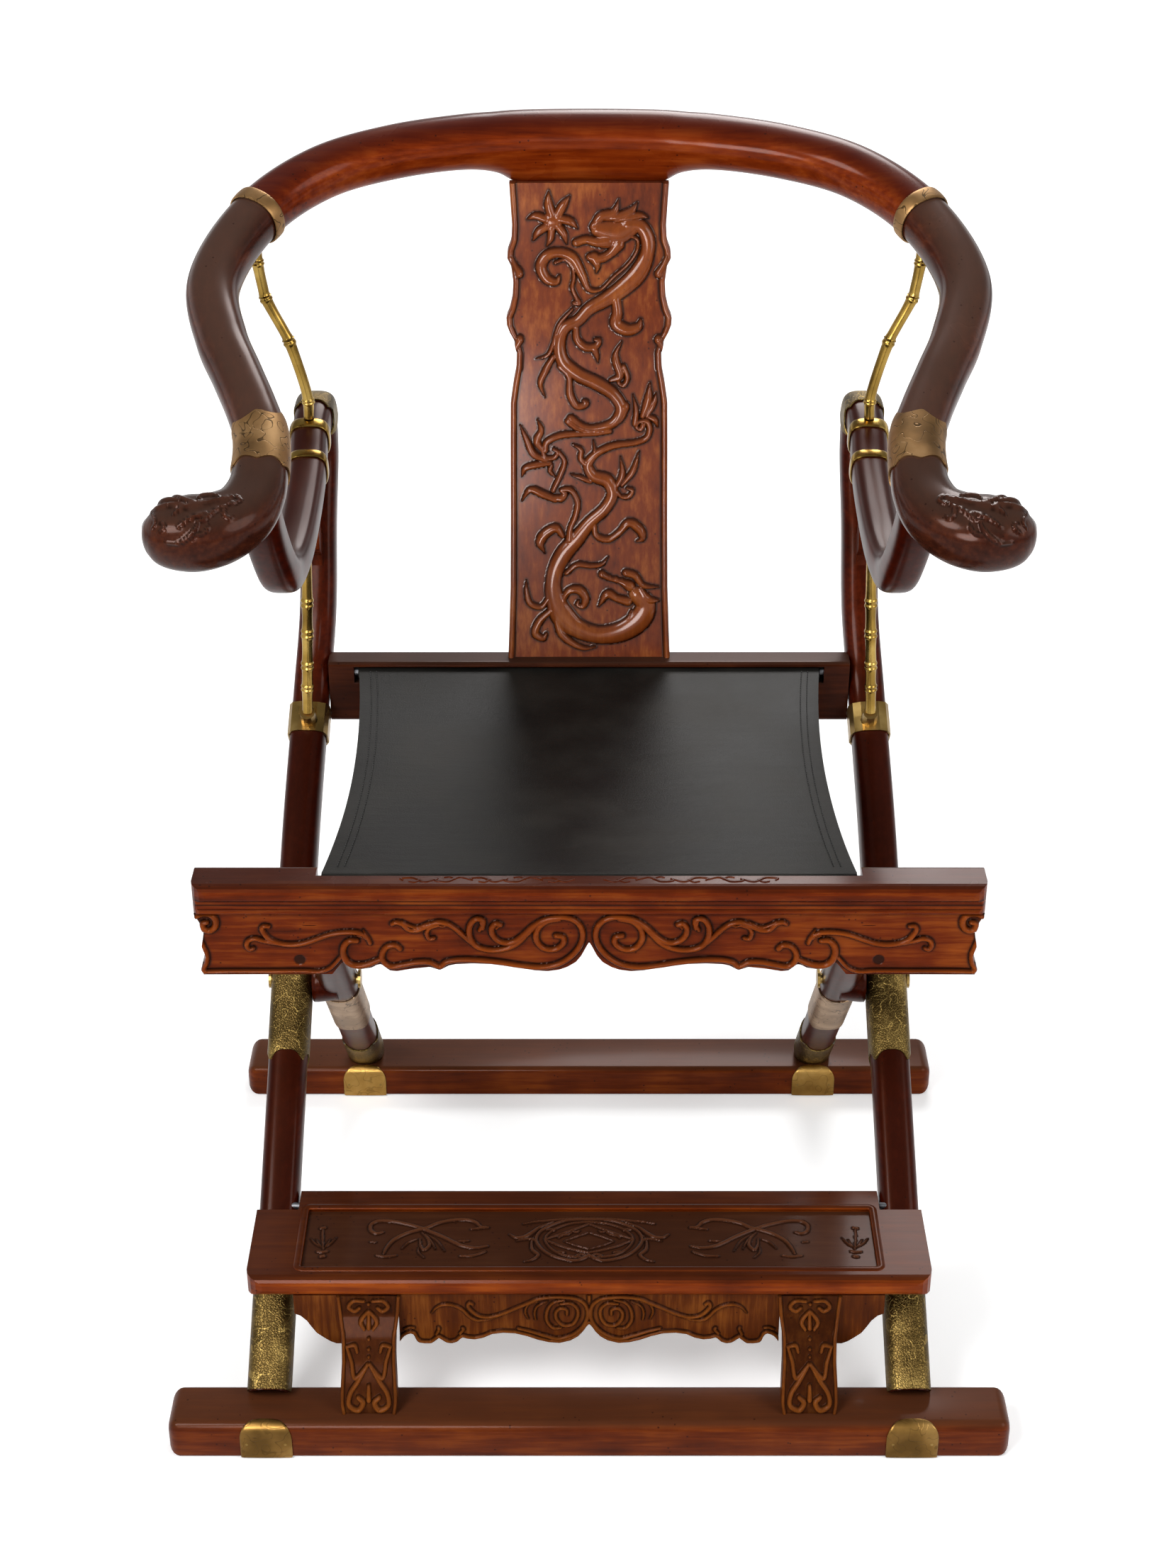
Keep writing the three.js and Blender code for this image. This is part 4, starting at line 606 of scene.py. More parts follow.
    [(-39.1, 542.6, 1.9), (-46.1, 534.1, 2.3), (-56.6, 537.2, 2.6), (-60.3, 549.1, 1.9), (-60.3, 559, 0.5)],
    [(-37.4, 530.3, 2.4), (-47.9, 520.4, 3.1), (-51.9, 508.4, 3.3), (-44.5, 504, 2.5), (-41.3, 508.4, 1.2)],
    [(-32.2, 523.5, 2.4), (-27, 508.4, 3.2), (-15.1, 498.5, 2.8), (-4.6, 494.3, 1.9), (6.3, 495.4, 0.7)],
]
for side in (-1, 1):
    for height, away in ((838, 1), (780, -1)):
        curl = ((72, 14, 1.4), (69, 7, 2.2), (65, 0, 3.2), (65.2, -0.5, 3.2))
        dragon_strokes.append([(side * x, height + dz * away, r) for x, dz, r in curl])
dragon_strokes = [[(x, z, 1.18 * r) for x, z, r in stroke] for stroke in dragon_strokes]
splat_rise, bead_radius = 5.0, 2.9
carved, edge = relief(splat_x, splat_z, dragon_strokes, splat_rise)
inward = (1 - np.abs(across_share)) * half
carved = np.maximum(carved, edge_bead(inward, bead_radius, 3.0))
edge = np.minimum(np.abs(edge), np.abs(inward - 2 * bead_radius - 0.1))
# recess is painted shade beside the carving's edges; raised is a painted highlight, partly rubbed wear, on
# the carving's tops.
piece = board("splat_carved", facing_grid(splat_x, splat_y + 3.0 - carved, splat_z),
              facing_grid(splat_x, splat_y + 12, splat_z), wood_splat,
              {"recess": np.clip(beside(edge, 0.4, 1.5) - carved * 0.2, 0, 1) * 0.95,
               "raised": np.clip(carved / splat_rise, 0, 1) * 0.34})
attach(piece, "outer_frame")
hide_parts("back_splat")

# SEAT RAILS
# The front rail has a rounded lip over a groove and a small bead; the rear rail stands on
# edge between the outer legs. Both are grooved for the leather's hem.
front_tones = ("#3c1002", "#622104", "#8a4110", "#34170d")
wood_front = waxed_hardwood("waxed_hardwood_front_rail", *front_tones, "x", 0.26)
# The lip's material has two dark lines of painted shade in its grooves.
wood_lip = waxed_hardwood("waxed_hardwood_rail_lip", *front_tones, "x", 0.24)
tree = wood_lip.node_tree
base_colour = tree.nodes["Principled BSDF"].inputs["Base Color"]
place = node(tree, "ShaderNodeTexCoord").outputs["Object"]
level = node(tree, "ShaderNodeSeparateXYZ", [(place, 0)]).outputs["Z"]
groove_shade_colour = base_colour.links[0].from_socket
# Each line is painted shade along the height of one groove.
for line_height in (0.4735, 0.4685):
    off = maths(tree, "ABSOLUTE", maths(tree, "SUBTRACT", level, line_height))
    near_line = mapped(tree, off, interpolation_type="SMOOTHSTEP", From_Min=0.0002, From_Max=0.0016,
                       To_Min=0.85, To_Max=0.0)
    groove_shade_colour = tinted(tree, groove_shade_colour, near_line, "#140804")
tree.links.new(groove_shade_colour, base_colour)
# Shaded by the sitter's back, so almost black brown.
wood_rear_rail = waxed_hardwood("waxed_hardwood_rear_rail", "#220d07", "#351509", "#4a2210", "#38241b", "x")


def dress(name, material, easing=None):
    """Gives a node of the solids its material and, with an easing in metres, rounded edges."""
    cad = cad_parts[name]
    cad.data.materials.clear()
    cad.data.materials.append(material)
    if easing:
        cad.modifiers.new("weld", "WELD").merge_threshold = 0.00005
        bevel = cad.modifiers.new("bevel", "BEVEL")
        bevel.width, bevel.segments = easing, 3
        bevel.limit_method, bevel.angle_limit = "ANGLE", 0.6


dress("front_seat_rail", wood_lip, 0.0016)
dress("rear_seat_rail", wood_rear_rail, 0.0016)

# FRONT APRON
# A thin board under the front rail with a cusped and lobed lower edge. A bead follows the
# edge and ends in small curls; the peg at each end shows as a dark disc.
apron_top, apron_high, apron_half, apron_inner = 458.7, 61, 331, 326
# The lower edge and the end, both as (share of the half length, share of the height).
apron_line = np.array([
    (0.985, 0), (0.656, 0.006), (0.642, 0.115), (0.629, 0.208), (0.62, 0.173), (0.604, 0.115),
    (0.581, 0.091), (0.555, 0.115), (0.541, 0.162), (0.53, 0.173), (0.521, 0.126), (0.509, 0.068),
    (0.491, 0.056), (0.451, 0.097), (0.406, 0.126), (0.392, 0.097), (0.381, 0.074), (0.37, 0.109),
    (0.358, 0.15), (0.34, 0.173), (0.298, 0.185), (0.25, 0.173), (0.208, 0.138), (0.173, 0.103),
    (0.137, 0.068), (0.106, 0.056), (0.077, 0.08), (0.056, 0.126), (0.034, 0.208), (0.02, 0.314),
    (0.009, 0.443), (0, 0.548)])
side_line = np.array([(0.985, 0), (0.99, 0.1), (0.985, 0.2), (0.974, 0.32), (0.982, 0.5), (0.976, 0.7),
                      (0.985, 0.86), (0.997, 1)])
across = np.broadcast_to(np.linspace(-1, 1, 840)[None, :], (80, 840))
bottom = np.interp(np.abs(across[0]) * apron_inner, apron_line[::-1, 0] * apron_half,
                   apron_top - (1 - apron_line[::-1, 1]) * apron_high)
bottom = smoothed(bottom, (0.25, 0.5, 0.25))
apron_z = bottom[None, :] + (apron_top - bottom[None, :]) * np.linspace(0, 1, 80)[:, None]
up_share = (apron_z - (apron_top - apron_high)) / apron_high
edge_half = apron_half * np.interp(up_share, side_line[:, 1], side_line[:, 0])
apron_x = across * (apron_inner + (edge_half - apron_inner) * np.abs(across) ** 12)
scroll_half = [
    [(327.6, 456.7, 2), (322.1, 459.4, 2.2), (316.1, 458.8, 2.4), (312.1, 453.6, 2.5), (313, 446.3, 2.5),
     (317.8, 442.7, 2.5), (322.4, 444.8, 2.5), (322.9, 449.8, 2.2), (319.3, 451.1, 2)],
    [(325.1, 443.2, 1.9), (326.1, 434.7, 1.9), (324, 426.3, 1.9), (321.9, 418.9, 1.9), (322.7, 410.4, 1.9),
     (325.7, 403.4, 1.9), (324.5, 401.4, 1.9)],
    [(324.5, 401.4, 1.6), (305.3, 402.1, 1.6), (269.8, 402.1, 1.6), (241.5, 402.3, 1.6), (226.4, 401.9, 1.6),
     (218.3, 405.5, 1.6), (209.8, 415.3, 1.6)],
    [(183.9, 430.1, 1.6), (186.8, 436.9, 1.8), (193.6, 440.6, 2.1), (204.2, 441.1, 2.1), (216.6, 439, 2.1),
     (229.1, 434.1, 2.1), (239.9, 430.1, 2.1), (250.5, 428.8, 2.1), (261, 430.5, 2.1), (267.8, 434.1, 2.1),
     (272, 439.4, 2.1), (273.8, 444.2, 2.1), (271.9, 447.3, 1.8), (267.9, 446.9, 1.6)],
    [(255.8, 429.3, 1.5), (264.5, 430.5, 1.7), (273.2, 432.6, 1.9), (280.1, 434.7, 1.9), (285.8, 432.6, 1.9),
     (287.6, 427.4, 1.9), (285.2, 423.8, 1.7), (282.1, 425, 1.5)],
    [(189.1, 443.2, 0.6), (185.4, 435.8, 1), (183.6, 429.5, 0.6)],
    [(197.3, 438.5, 0.6), (188.6, 435.8, 1), (184.9, 432.6, 0.6)],
    [(194.9, 432.6, 2.1), (201, 432.6, 2.4), (205.7, 427.4, 2.6), (207, 419.5, 2.6), (204.7, 412.5, 2.7),
     (198.7, 408.1, 2.7), (189.8, 408.1, 2.7), (180.8, 411.5, 2.4), (176.9, 413.6, 2.1)],
    [(159.1, 424.6, 2.1), (162.5, 428, 2.2), (168.7, 427.2, 2.3), (173.3, 421.7, 2.3), (174.5, 414.7, 2.3),
     (171.2, 408.9, 2.3), (166, 406.8, 2.3), (156.2, 408.5, 2.3), (145.5, 410.8, 2.3), (134.9, 411, 2.3),
     (125.8, 406.8, 2.3), (120.7, 411, 2.3), (110.1, 413.4, 2.3), (92.4, 413, 2.3), (74.8, 410.8, 2.3),
     (57.1, 407.6, 2.3), (41.2, 406.1, 2.3), (27, 408.9, 2.3), (15.5, 416.8, 2.3), (7.9, 427.4, 2.3),
     (5.4, 437.9, 2.3), (7.5, 447.3, 2.3), (12.7, 453.2, 2.3), (20.6, 456.1, 2.3), (29.4, 455.7, 2.3),
     (39, 452.6, 2.3), (47.8, 446.3, 2.3), (55, 438.5, 2.3), (62.1, 432.6, 2.3), (69.1, 430.5, 2.3),
     (76.1, 432.6, 2.3), (81, 438.5, 2.3), (81.5, 445.2, 2.3), (77.9, 449.8, 2.2), (74.1, 448.6, 2.1)],
    [(25, 454.4, 2), (36.4, 451.5, 2.2), (43.5, 443.2, 2.3), (44.1, 432.6, 2.3), (37.9, 425, 2.3),
     (29.1, 424.2, 2.3), (21.6, 430.1, 2.3), (22.3, 436.4, 2.2), (27.7, 437.7, 2.1)],
    [(89.1, 445.2, 1.8), (88.4, 452.6, 2), (94.1, 454.4, 2.3), (99.3, 448.4, 2.3), (100.3, 437.9, 2.3),
     (95.6, 428, 2.3), (85.1, 423.6, 2.3), (72.8, 424.2, 2.3), (61.2, 429.5, 2.3), (52.3, 439, 2.1),
     (45.2, 447.3, 1.8)],
    [(85.1, 423.6, 1.7), (94.7, 427.4, 1.9), (104.2, 436.4, 2.1), (111.9, 444.8, 2.1), (118.8, 449.8, 2.1),
     (126.6, 451.1, 2.1), (135.5, 447.3, 2.1), (144.4, 443.2, 2.1), (151.4, 444.2, 2.1), (156.1, 449.4, 2.1),
     (161.6, 451.1, 1.9), (164.7, 449.4, 1.7)],
    [(126.7, 448.4, 1.6), (133.8, 445.2, 1.7), (136.1, 440, 1.8), (134.1, 434.7, 1.7), (130.2, 435.2, 1.6)],
    [(117, 449.8, 0.8), (122.3, 447.3, 1.2), (128.4, 449, 0.8)],
    [(156.3, 451.9, 0.8), (151.2, 448.4, 1.2), (144.3, 446.3, 1.2), (133.6, 451.1, 0.8)],
    [(91.7, 443.2, 1.6), (89.5, 447.8, 1.7), (90.2, 451.1, 1.6)],
    [(77.7, 445.2, 1.2), (75.5, 447.8, 1.2)],
]


def both_halves(strokes, widen):
    """The strokes and their mirror images, each radius made wider by the same share."""
    strokes = strokes + [[(-x, y, r) for x, y, r in stroke] for stroke in strokes]
    return [[(x, y, widen * r) for x, y, r in stroke] for stroke in strokes]


apron_rise = 5.0
carved, edge = relief(apron_x, apron_z, both_halves(scroll_half, 1.12), apron_rise)
peg = np.hypot(np.abs(apron_x) - 244, apron_z - 412.5)
dark_peg = np.clip((5.4 - peg) / 0.8, 0, 1)
# recess is painted shade beside the carving's edges, together with the real dark disc of each peg; raised is
# a painted highlight, partly rubbed wear.
recess = np.maximum(np.clip(beside(edge, 0.4, 1.25) - carved * 0.25, 0, 1), dark_peg * 0.9)
piece = board("apron_front", facing_grid(apron_x, 160.2 - carved + 0.8 * dark_peg, apron_z),
              facing_grid(apron_x, 173.0, apron_z), wood_front,
              {"recess": recess, "raised": np.clip(carved / apron_rise, 0, 1) * 0.6})
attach(piece, "inner_frame")
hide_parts("front_apron")

# SCROLLS ON THE FRONT RAIL
# A narrow band of running scrolls in low relief along the top of the front rail, only as
# high as a coin is thick.


def tendrils(strokes, height):
    """Low relief strokes of (x, y, half width) on a level face: each is a closed bar whose
    section is an ellipse as wide as the stroke, its middle at the height of the face."""
    lines = [[(x, y, height, 2 * r, 1.7, 0) for x, y, r in stroke] for stroke in strokes]
    return joined([capped(bar_grid(line, (0, 0, 1), 2, np.linspace(0, 1, 10 * len(line)), 10))
                   for line in lines])


wave = [(0, 0, 0.8), (9, -3.4, 1.3), (19, 3, 1.5), (29, 1.5, 1.2), (27, -1.2, 0.9)]
leaflet = [(12, 0, 0.6), (17, -4, 1.1), (22, -3, 0.6)]
band_strokes = []
for side in (-1, 1):
    for k in range(5):
        for line in (wave, leaflet):
            band_strokes.append([(side * (12 + 29 * k + dx), 169 + dy * (-1) ** k, r) for dx, dy, r in line])
piece = mesh_piece("rail_scrolls", *tendrils(band_strokes, 487.0), wood_front)
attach(piece, "inner_frame")

# LEATHER SLING
# One hide, hemmed round a steel bar in each seat rail, stretched between them and sagging a
# little. Its side edges are drawn in and stitched.
# Near black and cloudy, with fine pores and broad soft creases under a dull sheen.
leather, tree, shader = new_material("black_bridle_leather")
spot = node(tree, "ShaderNodeTexCoord").outputs["Object"]
pores = node(tree, "ShaderNodeTexVoronoi", [(spot, "Vector")], Scale=700.0)
mottle = node(tree, "ShaderNodeTexNoise", [(spot, "Vector")], Scale=14.0, Detail=5.0)
drawn_out = node(tree, "ShaderNodeMapping", [(spot, "Vector")], Scale=(0.35, 1.6, 1.0))
creases = node(tree, "ShaderNodeTexNoise", [(drawn_out.outputs["Vector"], "Vector")], Scale=26.0, Detail=4.0)
tree.links.new(ramp(tree, mottle.outputs["Fac"], [(0.35, "#141312"), (0.5, "#1b1a18"), (0.7, "#262421")]),
               shader.inputs["Base Color"])
tree.links.new(mapped(tree, mottle.outputs["Fac"], To_Min=0.36, To_Max=0.54), shader.inputs["Roughness"])
grain = node(tree, "ShaderNodeBump", [(pores.outputs["Distance"], "Height")], Strength=0.25, Distance=0.0003)
folds = node(tree, "ShaderNodeBump", [(creases.outputs["Fac"], "Height"),
                                      (grain.outputs["Normal"], "Normal")], Strength=0.3, Distance=0.0025)
tree.links.new(folds.outputs["Normal"], shader.inputs["Normal"])
shader.inputs["Specular IOR Level"].default_value = 0.17
shader.inputs["Specular Tint"].default_value = linear("#b0a8a0")

front_hem, rear_hem, hem_radius, bar_radius = (183, 477.6), (574.4, 471.5), 7.2, 4.4
hide_half, draw_in, sag = 224, 11, 10


def sling_grid(offset, rows=110, columns=80):
    """A face of the hide: straight from hem to hem with a parabolic sag of 10 mm, edges
    drawn in 11 mm by the same parabola and lifted a little, offset up or down by half its
    thickness, with a slow wave of half a millimetre."""
    t = np.linspace(0, 1, rows)[:, None]
    s = np.linspace(-1, 1, columns)[None, :]
    bow = 4 * t * (1 - t)
    x = s * (hide_half - draw_in * bow)
    y = front_hem[0] + (rear_hem[0] - front_hem[0]) * t + 0 * s
    z = (front_hem[1] + (rear_hem[1] - front_hem[1]) * t + hem_radius - 1.5 - sag * bow
         + 2.5 * bow * s ** 2 + 0.5 * np.sin(9 * t + 5 * s) * bow + offset)
    return np.stack([x, y, z], -1)


def hem_tube(y, z):
    """The hide wrapped round its bar: a tube along X whose wall lies between the two radii."""
    turn = 2 * np.pi * np.arange(24) / 24
    tube = [[(x, y + r * np.cos(a), z + r * np.sin(a)) for a in turn]
            for x, r in ((-hide_half, bar_radius), (-hide_half, hem_radius),
                         (hide_half, hem_radius), (hide_half, bar_radius))]
    return np.array(tube).reshape(-1, 3), ring_faces(4, 24, closed=True)


ring = np.concatenate([sling_grid(1.5), sling_grid(-1.5)[:, ::-1]], axis=1)
sling_shape = joined([capped(ring), hem_tube(*front_hem), hem_tube(*rear_hem)])
sling = mesh_piece("sling_leather", *sling_shape, leather)
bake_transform(sling)
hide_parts("seat_sling")

# SLING STITCHING
# Waxed thread sewn in two rows along each drawn-in edge of the hide, 11 and 17 mm in, a
# stitch every four millimetres or so. It is dark and dull, and its twist breaks the light.
thread, tree, shader = new_material("waxed_linen_thread")
shader.inputs["Base Color"].default_value = linear("#1d1c1a")
shader.inputs["Roughness"].default_value = 0.6
twist = node(tree, "ShaderNodeTexNoise", Scale=900.0)
twist_bump = node(tree, "ShaderNodeBump", [(twist.outputs["Fac"], "Height")], Strength=0.4, Distance=0.0002)
tree.links.new(twist_bump.outputs["Normal"], shader.inputs["Normal"])
stitches, stitches_per_row, thread_radius = [], 86, 0.55
for side, inset in ((-1, 11), (1, 11), (-1, 17), (1, 17)):
    for k in range(stitches_per_row):
        t = 0.03 + 0.94 * k / stitches_per_row + np.array((0.0, 0.0035, 0.007))
        bow = 4 * t * (1 - t)
        x = side * (hide_half - draw_in * bow - inset)
        y = front_hem[0] + (rear_hem[0] - front_hem[0]) * t
        z = front_hem[1] + (rear_hem[1] - front_hem[1]) * t + hem_radius - sag * bow + 2.5 * bow * 0.88
        z = z + (0.2, 0.75, 0.2) + 0.5 * np.sin(9 * t + 5 * side * 0.94) * bow
        rings = [[(a + thread_radius * np.cos(q), b, c + thread_radius * np.sin(q))
                  for q in np.arange(6) * np.pi / 3] for a, b, c in zip(x, y, z)]
        stitches.append(capped(np.array(rings)[:, ::-1]))
piece = mesh_piece("sling_stitches", *joined(stitches), thread)
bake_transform(piece)

# STEEL BARS AND PINS
# Round mild steel: a bar in each hem, and the footrest's two hinge pins.
# Grey and dull, a little uneven.
steel, tree, shader = new_material("plain_mild_steel")
shader.inputs["Metallic"].default_value = 1.0
spot = node(tree, "ShaderNodeTexCoord").outputs["Object"]
dull = node(tree, "ShaderNodeTexNoise", [(spot, "Vector")], Scale=90.0, Detail=4.0).outputs["Fac"]
tree.links.new(ramp(tree, dull, [(0.3, "#55565a"), (0.7, "#7a7b7e")]), shader.inputs["Base Color"])
tree.links.new(mapped(tree, dull, To_Min=0.35, To_Max=0.55), shader.inputs["Roughness"])
for name in ("front_seat_bar", "rear_seat_bar", "footrest_pin_left", "footrest_pin_right"):
    dress(name, steel)

# ENGRAVED BRASS SLEEVES
# Sheet brass a millimetre thick wrapped round the legs at feet and pivots, its ends cut in
# ogee lobes, chased all over with scales and tendrils and nailed with small round pins.


def chased_brass(name, dark, middle, bright, scales=0.0, vines=0.0, roughness=0.3):
    """Aged sheet brass. Scales weighs small punched scales, vines weighs winding stems: above
    nought they stand up bright, below nought they are engraved dark lines. Real scales are
    1.6 mm; they are drawn 2.4 mm wide so that they show."""
    material, tree, shader = new_material(name)
    shader.inputs["Metallic"].default_value = 1.0
    spot = node(tree, "ShaderNodeTexCoord").outputs["Object"]
    tarnish = node(tree, "ShaderNodeTexNoise", [(spot, "Vector")], Scale=26.0, Detail=5.0).outputs["Fac"]
    base = ramp(tree, tarnish, [(0.32, dark), (0.5, middle), (0.68, bright)])
    punched = node(tree, "ShaderNodeTexVoronoi", [(spot, "Vector")], feature="DISTANCE_TO_EDGE",
                   Scale=1000.0 / 2.4)
    scale_height = mapped(tree, punched.outputs["Distance"], From_Max=0.2)
    ground = mapped(tree, scale_height, To_Min=1 - 0.6 * scales)
    base = node(tree, "ShaderNodeMix", [(ground, "Factor"), (base, "B")],
                data_type="RGBA", A=linear("#2c2010")).outputs["Result"]
    winding = node(tree, "ShaderNodeTexNoise", [(spot, "Vector")], Scale=75.0, Detail=0.0, Distortion=0.9)
    off = maths(tree, "ABSOLUTE", maths(tree, "SUBTRACT", winding.outputs["Fac"], 0.5))
    stem = mapped(tree, off, interpolation_type="SMOOTHSTEP", From_Min=0.008, From_Max=0.028,
                  To_Min=abs(vines), To_Max=0.0)
    base = tinted(tree, base, stem, bright if vines > 0 else "#3a2a16")
    tree.links.new(base, shader.inputs["Base Color"])
    dull = mapped(tree, tarnish, To_Min=roughness - 0.06, To_Max=roughness + 0.16)
    tree.links.new(dull, shader.inputs["Roughness"])
    punch = node(tree, "ShaderNodeBump", [(scale_height, "Height")], Strength=0.5 * scales, Distance=0.0005)
    raised = node(tree, "ShaderNodeBump", [(stem, "Height"), (punch.outputs["Normal"], "Normal")],
                  Strength=0.5 if vines else 0.0, Distance=0.0006 if vines > 0 else -0.0004)
    tree.links.new(raised.outputs["Normal"], shader.inputs["Normal"])
    return material


# On the legs dark and greenish under bright stems and small scales; the pins rubbed clean.
leg_brass = chased_brass("chased_brass_green_tarnish", "#47391d", "#5f4c28", "#8e7642", 0.8, 0.8, 0.34)
pin_brass = chased_brass("polished_brass_pins", "#7c6234", "#977a44", "#b89a5e", 0.0, 0.0, 0.24)


def sleeve_grid(rows, square, first, last, thick, sides=72, steps=24, wave_first=0.0, wave_last=0.0, lobes=4,
                upright=(1, 0, 0), clear=0.3, bead=0.0):
    """A thin closed sleeve on a bar: the outer face from first to last, turned in over the
    edge and back down the inner face. Its ends wave by a share of the bar's line. A bead
    swells the outer face between the ends by half an ellipse."""
    angle = 2 * np.pi * (np.arange(sides) + 0.5) / sides
    wave = np.abs(np.cos(angle * lobes / 2))
    low, high = first + wave_first * wave, last - wave_last * wave
    share = low + (high - low) * np.linspace(0, 1, steps)[:, None]
    zero = np.zeros(steps)
    swell = bead * np.sqrt(np.clip(1 - np.linspace(-1, 1, steps) ** 2, 0, 1))
    swell = np.broadcast_to(swell[:, None], share.shape).reshape(-1)
    outer = bar_grid(rows, upright, square, zero, sides, clear + thick + swell, share)
    inner = bar_grid(rows, upright, square, zero, sides, clear, share)
    grid = np.concatenate([outer, inner[::-1]])
    return grid.reshape(-1, 3), ring_faces(2 * steps, sides, closed=True)


def share_at(rows, height):
    """The share of a leg's line at which it reaches a height, read off a fine table."""
    table = smooth_line(rows, np.linspace(0, 1, 2000))[:, 2]
    order = np.argsort(table)
    return float(np.interp(height, table[order], np.linspace(0, 1, 2000)[order]))


def rivet_points(centre, normal, radius=2.2, rise=1.2):
    """A small domed nail head: rings of a flattened half sphere about a normal."""
    normal = np.asarray(normal, float) / np.linalg.norm(normal)
    side = np.cross(normal, (0.3, 0.2, 0.9))
    side /= np.linalg.norm(side)
    other = np.cross(normal, side)
    turn = 2 * np.pi * np.arange(16) / 16
    grid = np.array([[np.asarray(centre) + normal * (rise * math.cos(q) - 0.4)
                      + radius * math.sin(q) * (side * math.cos(t) + other * math.sin(t)) for t in turn]
                     for q in (math.pi / 2, 1.2, 0.8, 0.4, 0.02)])
    return capped(grid)


def leg_nail(height, angle, sides=72):
    """A nail on an outer leg's sleeve at a height and an angle round its section."""
    ring = bar_grid(outer_leg_rows, (1, 0, 0), leg_square, [share_at(outer_leg_rows, height)], sides, 1.5)[0]
    point = ring[int(round(angle / 360 * sides)) % sides]
    return rivet_points(point, point - ring.mean(0))


sheet = 1.2
low, high = share_at(outer_leg_rows, 38), share_at(outer_leg_rows, 119)
foot_sleeve = sleeve_grid(outer_leg_rows, leg_square, low, high, sheet, steps=60, wave_last=0.01)
foot_sleeve[0][:, 2] = np.maximum(foot_sleeve[0][:, 2], 37.4)
nails = [leg_nail(z, a) for z, a in ((46, 205), (46, 155), (84, 215), (84, 145))]
both_sides("sleeve_outer_foot", joined([foot_sleeve] + nails), leg_brass, "outer_frame",
           "outer_foot_sleeve")
low, high = share_at(outer_leg_rows, 219), share_at(outer_leg_rows, 307)
pivot_sleeve = sleeve_grid(outer_leg_rows, leg_square, low, high, sheet, steps=60, wave_first=0.005,
                           wave_last=0.008)
nails = [leg_nail(z, a) for z, a in ((262, 135), (290, 150), (232, 150))]
both_sides("sleeve_pivot", joined([pivot_sleeve] + nails), leg_brass, "outer_frame", "pivot_sleeve")
inner_foot = sleeve_grid(inner_leg_rows, inner_square, 0.003, share_at(inner_leg_rows, 102), sheet, steps=40,
                         wave_last=0.02)
inner_foot[0][:, 2] = np.maximum(inner_foot[0][:, 2], 34.4)
both_sides("sleeve_inner_foot", inner_foot, leg_brass, "inner_frame", "inner_foot_sleeve")
# Rubbed pale by folding and opening, its engraving still dark.
pale_brass = chased_brass("rubbed_pale_brass", "#7c654a", "#9c8064", "#bda184", 0.0, -0.6, 0.36)
low, high = share_at(inner_leg_rows, 164), share_at(inner_leg_rows, 256)
inner_band = sleeve_grid(inner_leg_rows, inner_square, low, high, 1.0, steps=40, wave_first=0.006,
                         wave_last=0.006)
both_sides("band_inner", inner_band, pale_brass, "inner_frame", "inner_pivot_band")
for name in ("pivot_pin_left", "rod_collar_left", "pivot_pin_right", "rod_collar_right"):
    dress(name, pin_brass)

# BRASS FOOT PLATES
# Stamped plates like an inverted shield on the stretchers' front faces, slightly domed and
# held by three round nails.
# The rear pair is worn bright; the front pair is darker, with the engraving filled.
bright_plate = chased_brass("worn_bright_brass_plate", "#866430", "#ab8546", "#c9a460", 0.0, -0.3, 0.3)
plate_brass = chased_brass("engraved_brass_plate", "#644a24", "#826232", "#a2804a", 0.0, -0.35, 0.32)


def arched_plate(centre_x, face_y, top_z, corner, width):
    """A plate bent over the stretcher's upper edge. v runs up the front face and round the
    corner of radius corner; the half width is width / 2 up to half way, then shrinks by a
    quarter ellipse, so the top is an arch. The face stands 1.3 mm proud, its edge eased."""
    reach = top_z - corner - 1
    length = reach + 0.95 * corner * np.pi / 2
    v = np.linspace(0, 1, 46)[:, None] * length
    u = np.linspace(-1, 1, 41)[None, :]
    turn = np.maximum(0, v - reach) / corner
    start = 0.52 * length
    arch = np.clip((v - start) / (length - start), 0, 1)
    half = width * (0.17 + 0.33 * np.sqrt(1 - arch ** 2))
    ease = np.minimum(1, (1 - np.abs(u)) * half / 1.0)
    stand = 0.5 + 0.8 * ease ** 0.5 + 0.35 * (1 - u ** 2)

    def layer(proud):
        y = face_y + corner * (1 - np.cos(turn)) - proud * np.cos(turn)
        z = 1 + np.minimum(v, reach) + corner * np.sin(turn) + proud * np.sin(turn)
        return facing_grid(centre_x + u * half, y, z)

    nails = [rivet_points((centre_x + dx, face_y - 1.5, 1 + dz * length), (0, -1, 0), 1.9, 0.5)
             for dx, dz in ((0, 0.62), (-0.37 * width, 0.38), (0.37 * width, 0.38))]
    return layer(stand), layer(0.25), joined(nails)


for name, centre_x, face_y, top_z, corner, width, brass, body, node_name in (
        ("front", 280, 0, 37, 8, 45, plate_brass, "outer_frame", "outer_foot_plate_"),
        ("rear", inner_x, 519, 34, 6, 44, bright_plate, "inner_frame", "inner_foot_plate_")):
    for side, s in (("right", 1), ("left", -1)):
        front, back, nails = arched_plate(s * centre_x, face_y, top_z, corner, width)
        piece = board("plate_" + name + "_" + side, front, back, brass)
        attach(piece, body)
        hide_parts(node_name + side)
        piece = mesh_piece("nails_" + name + "_" + side, *nails, pin_brass)
        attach(piece, body)

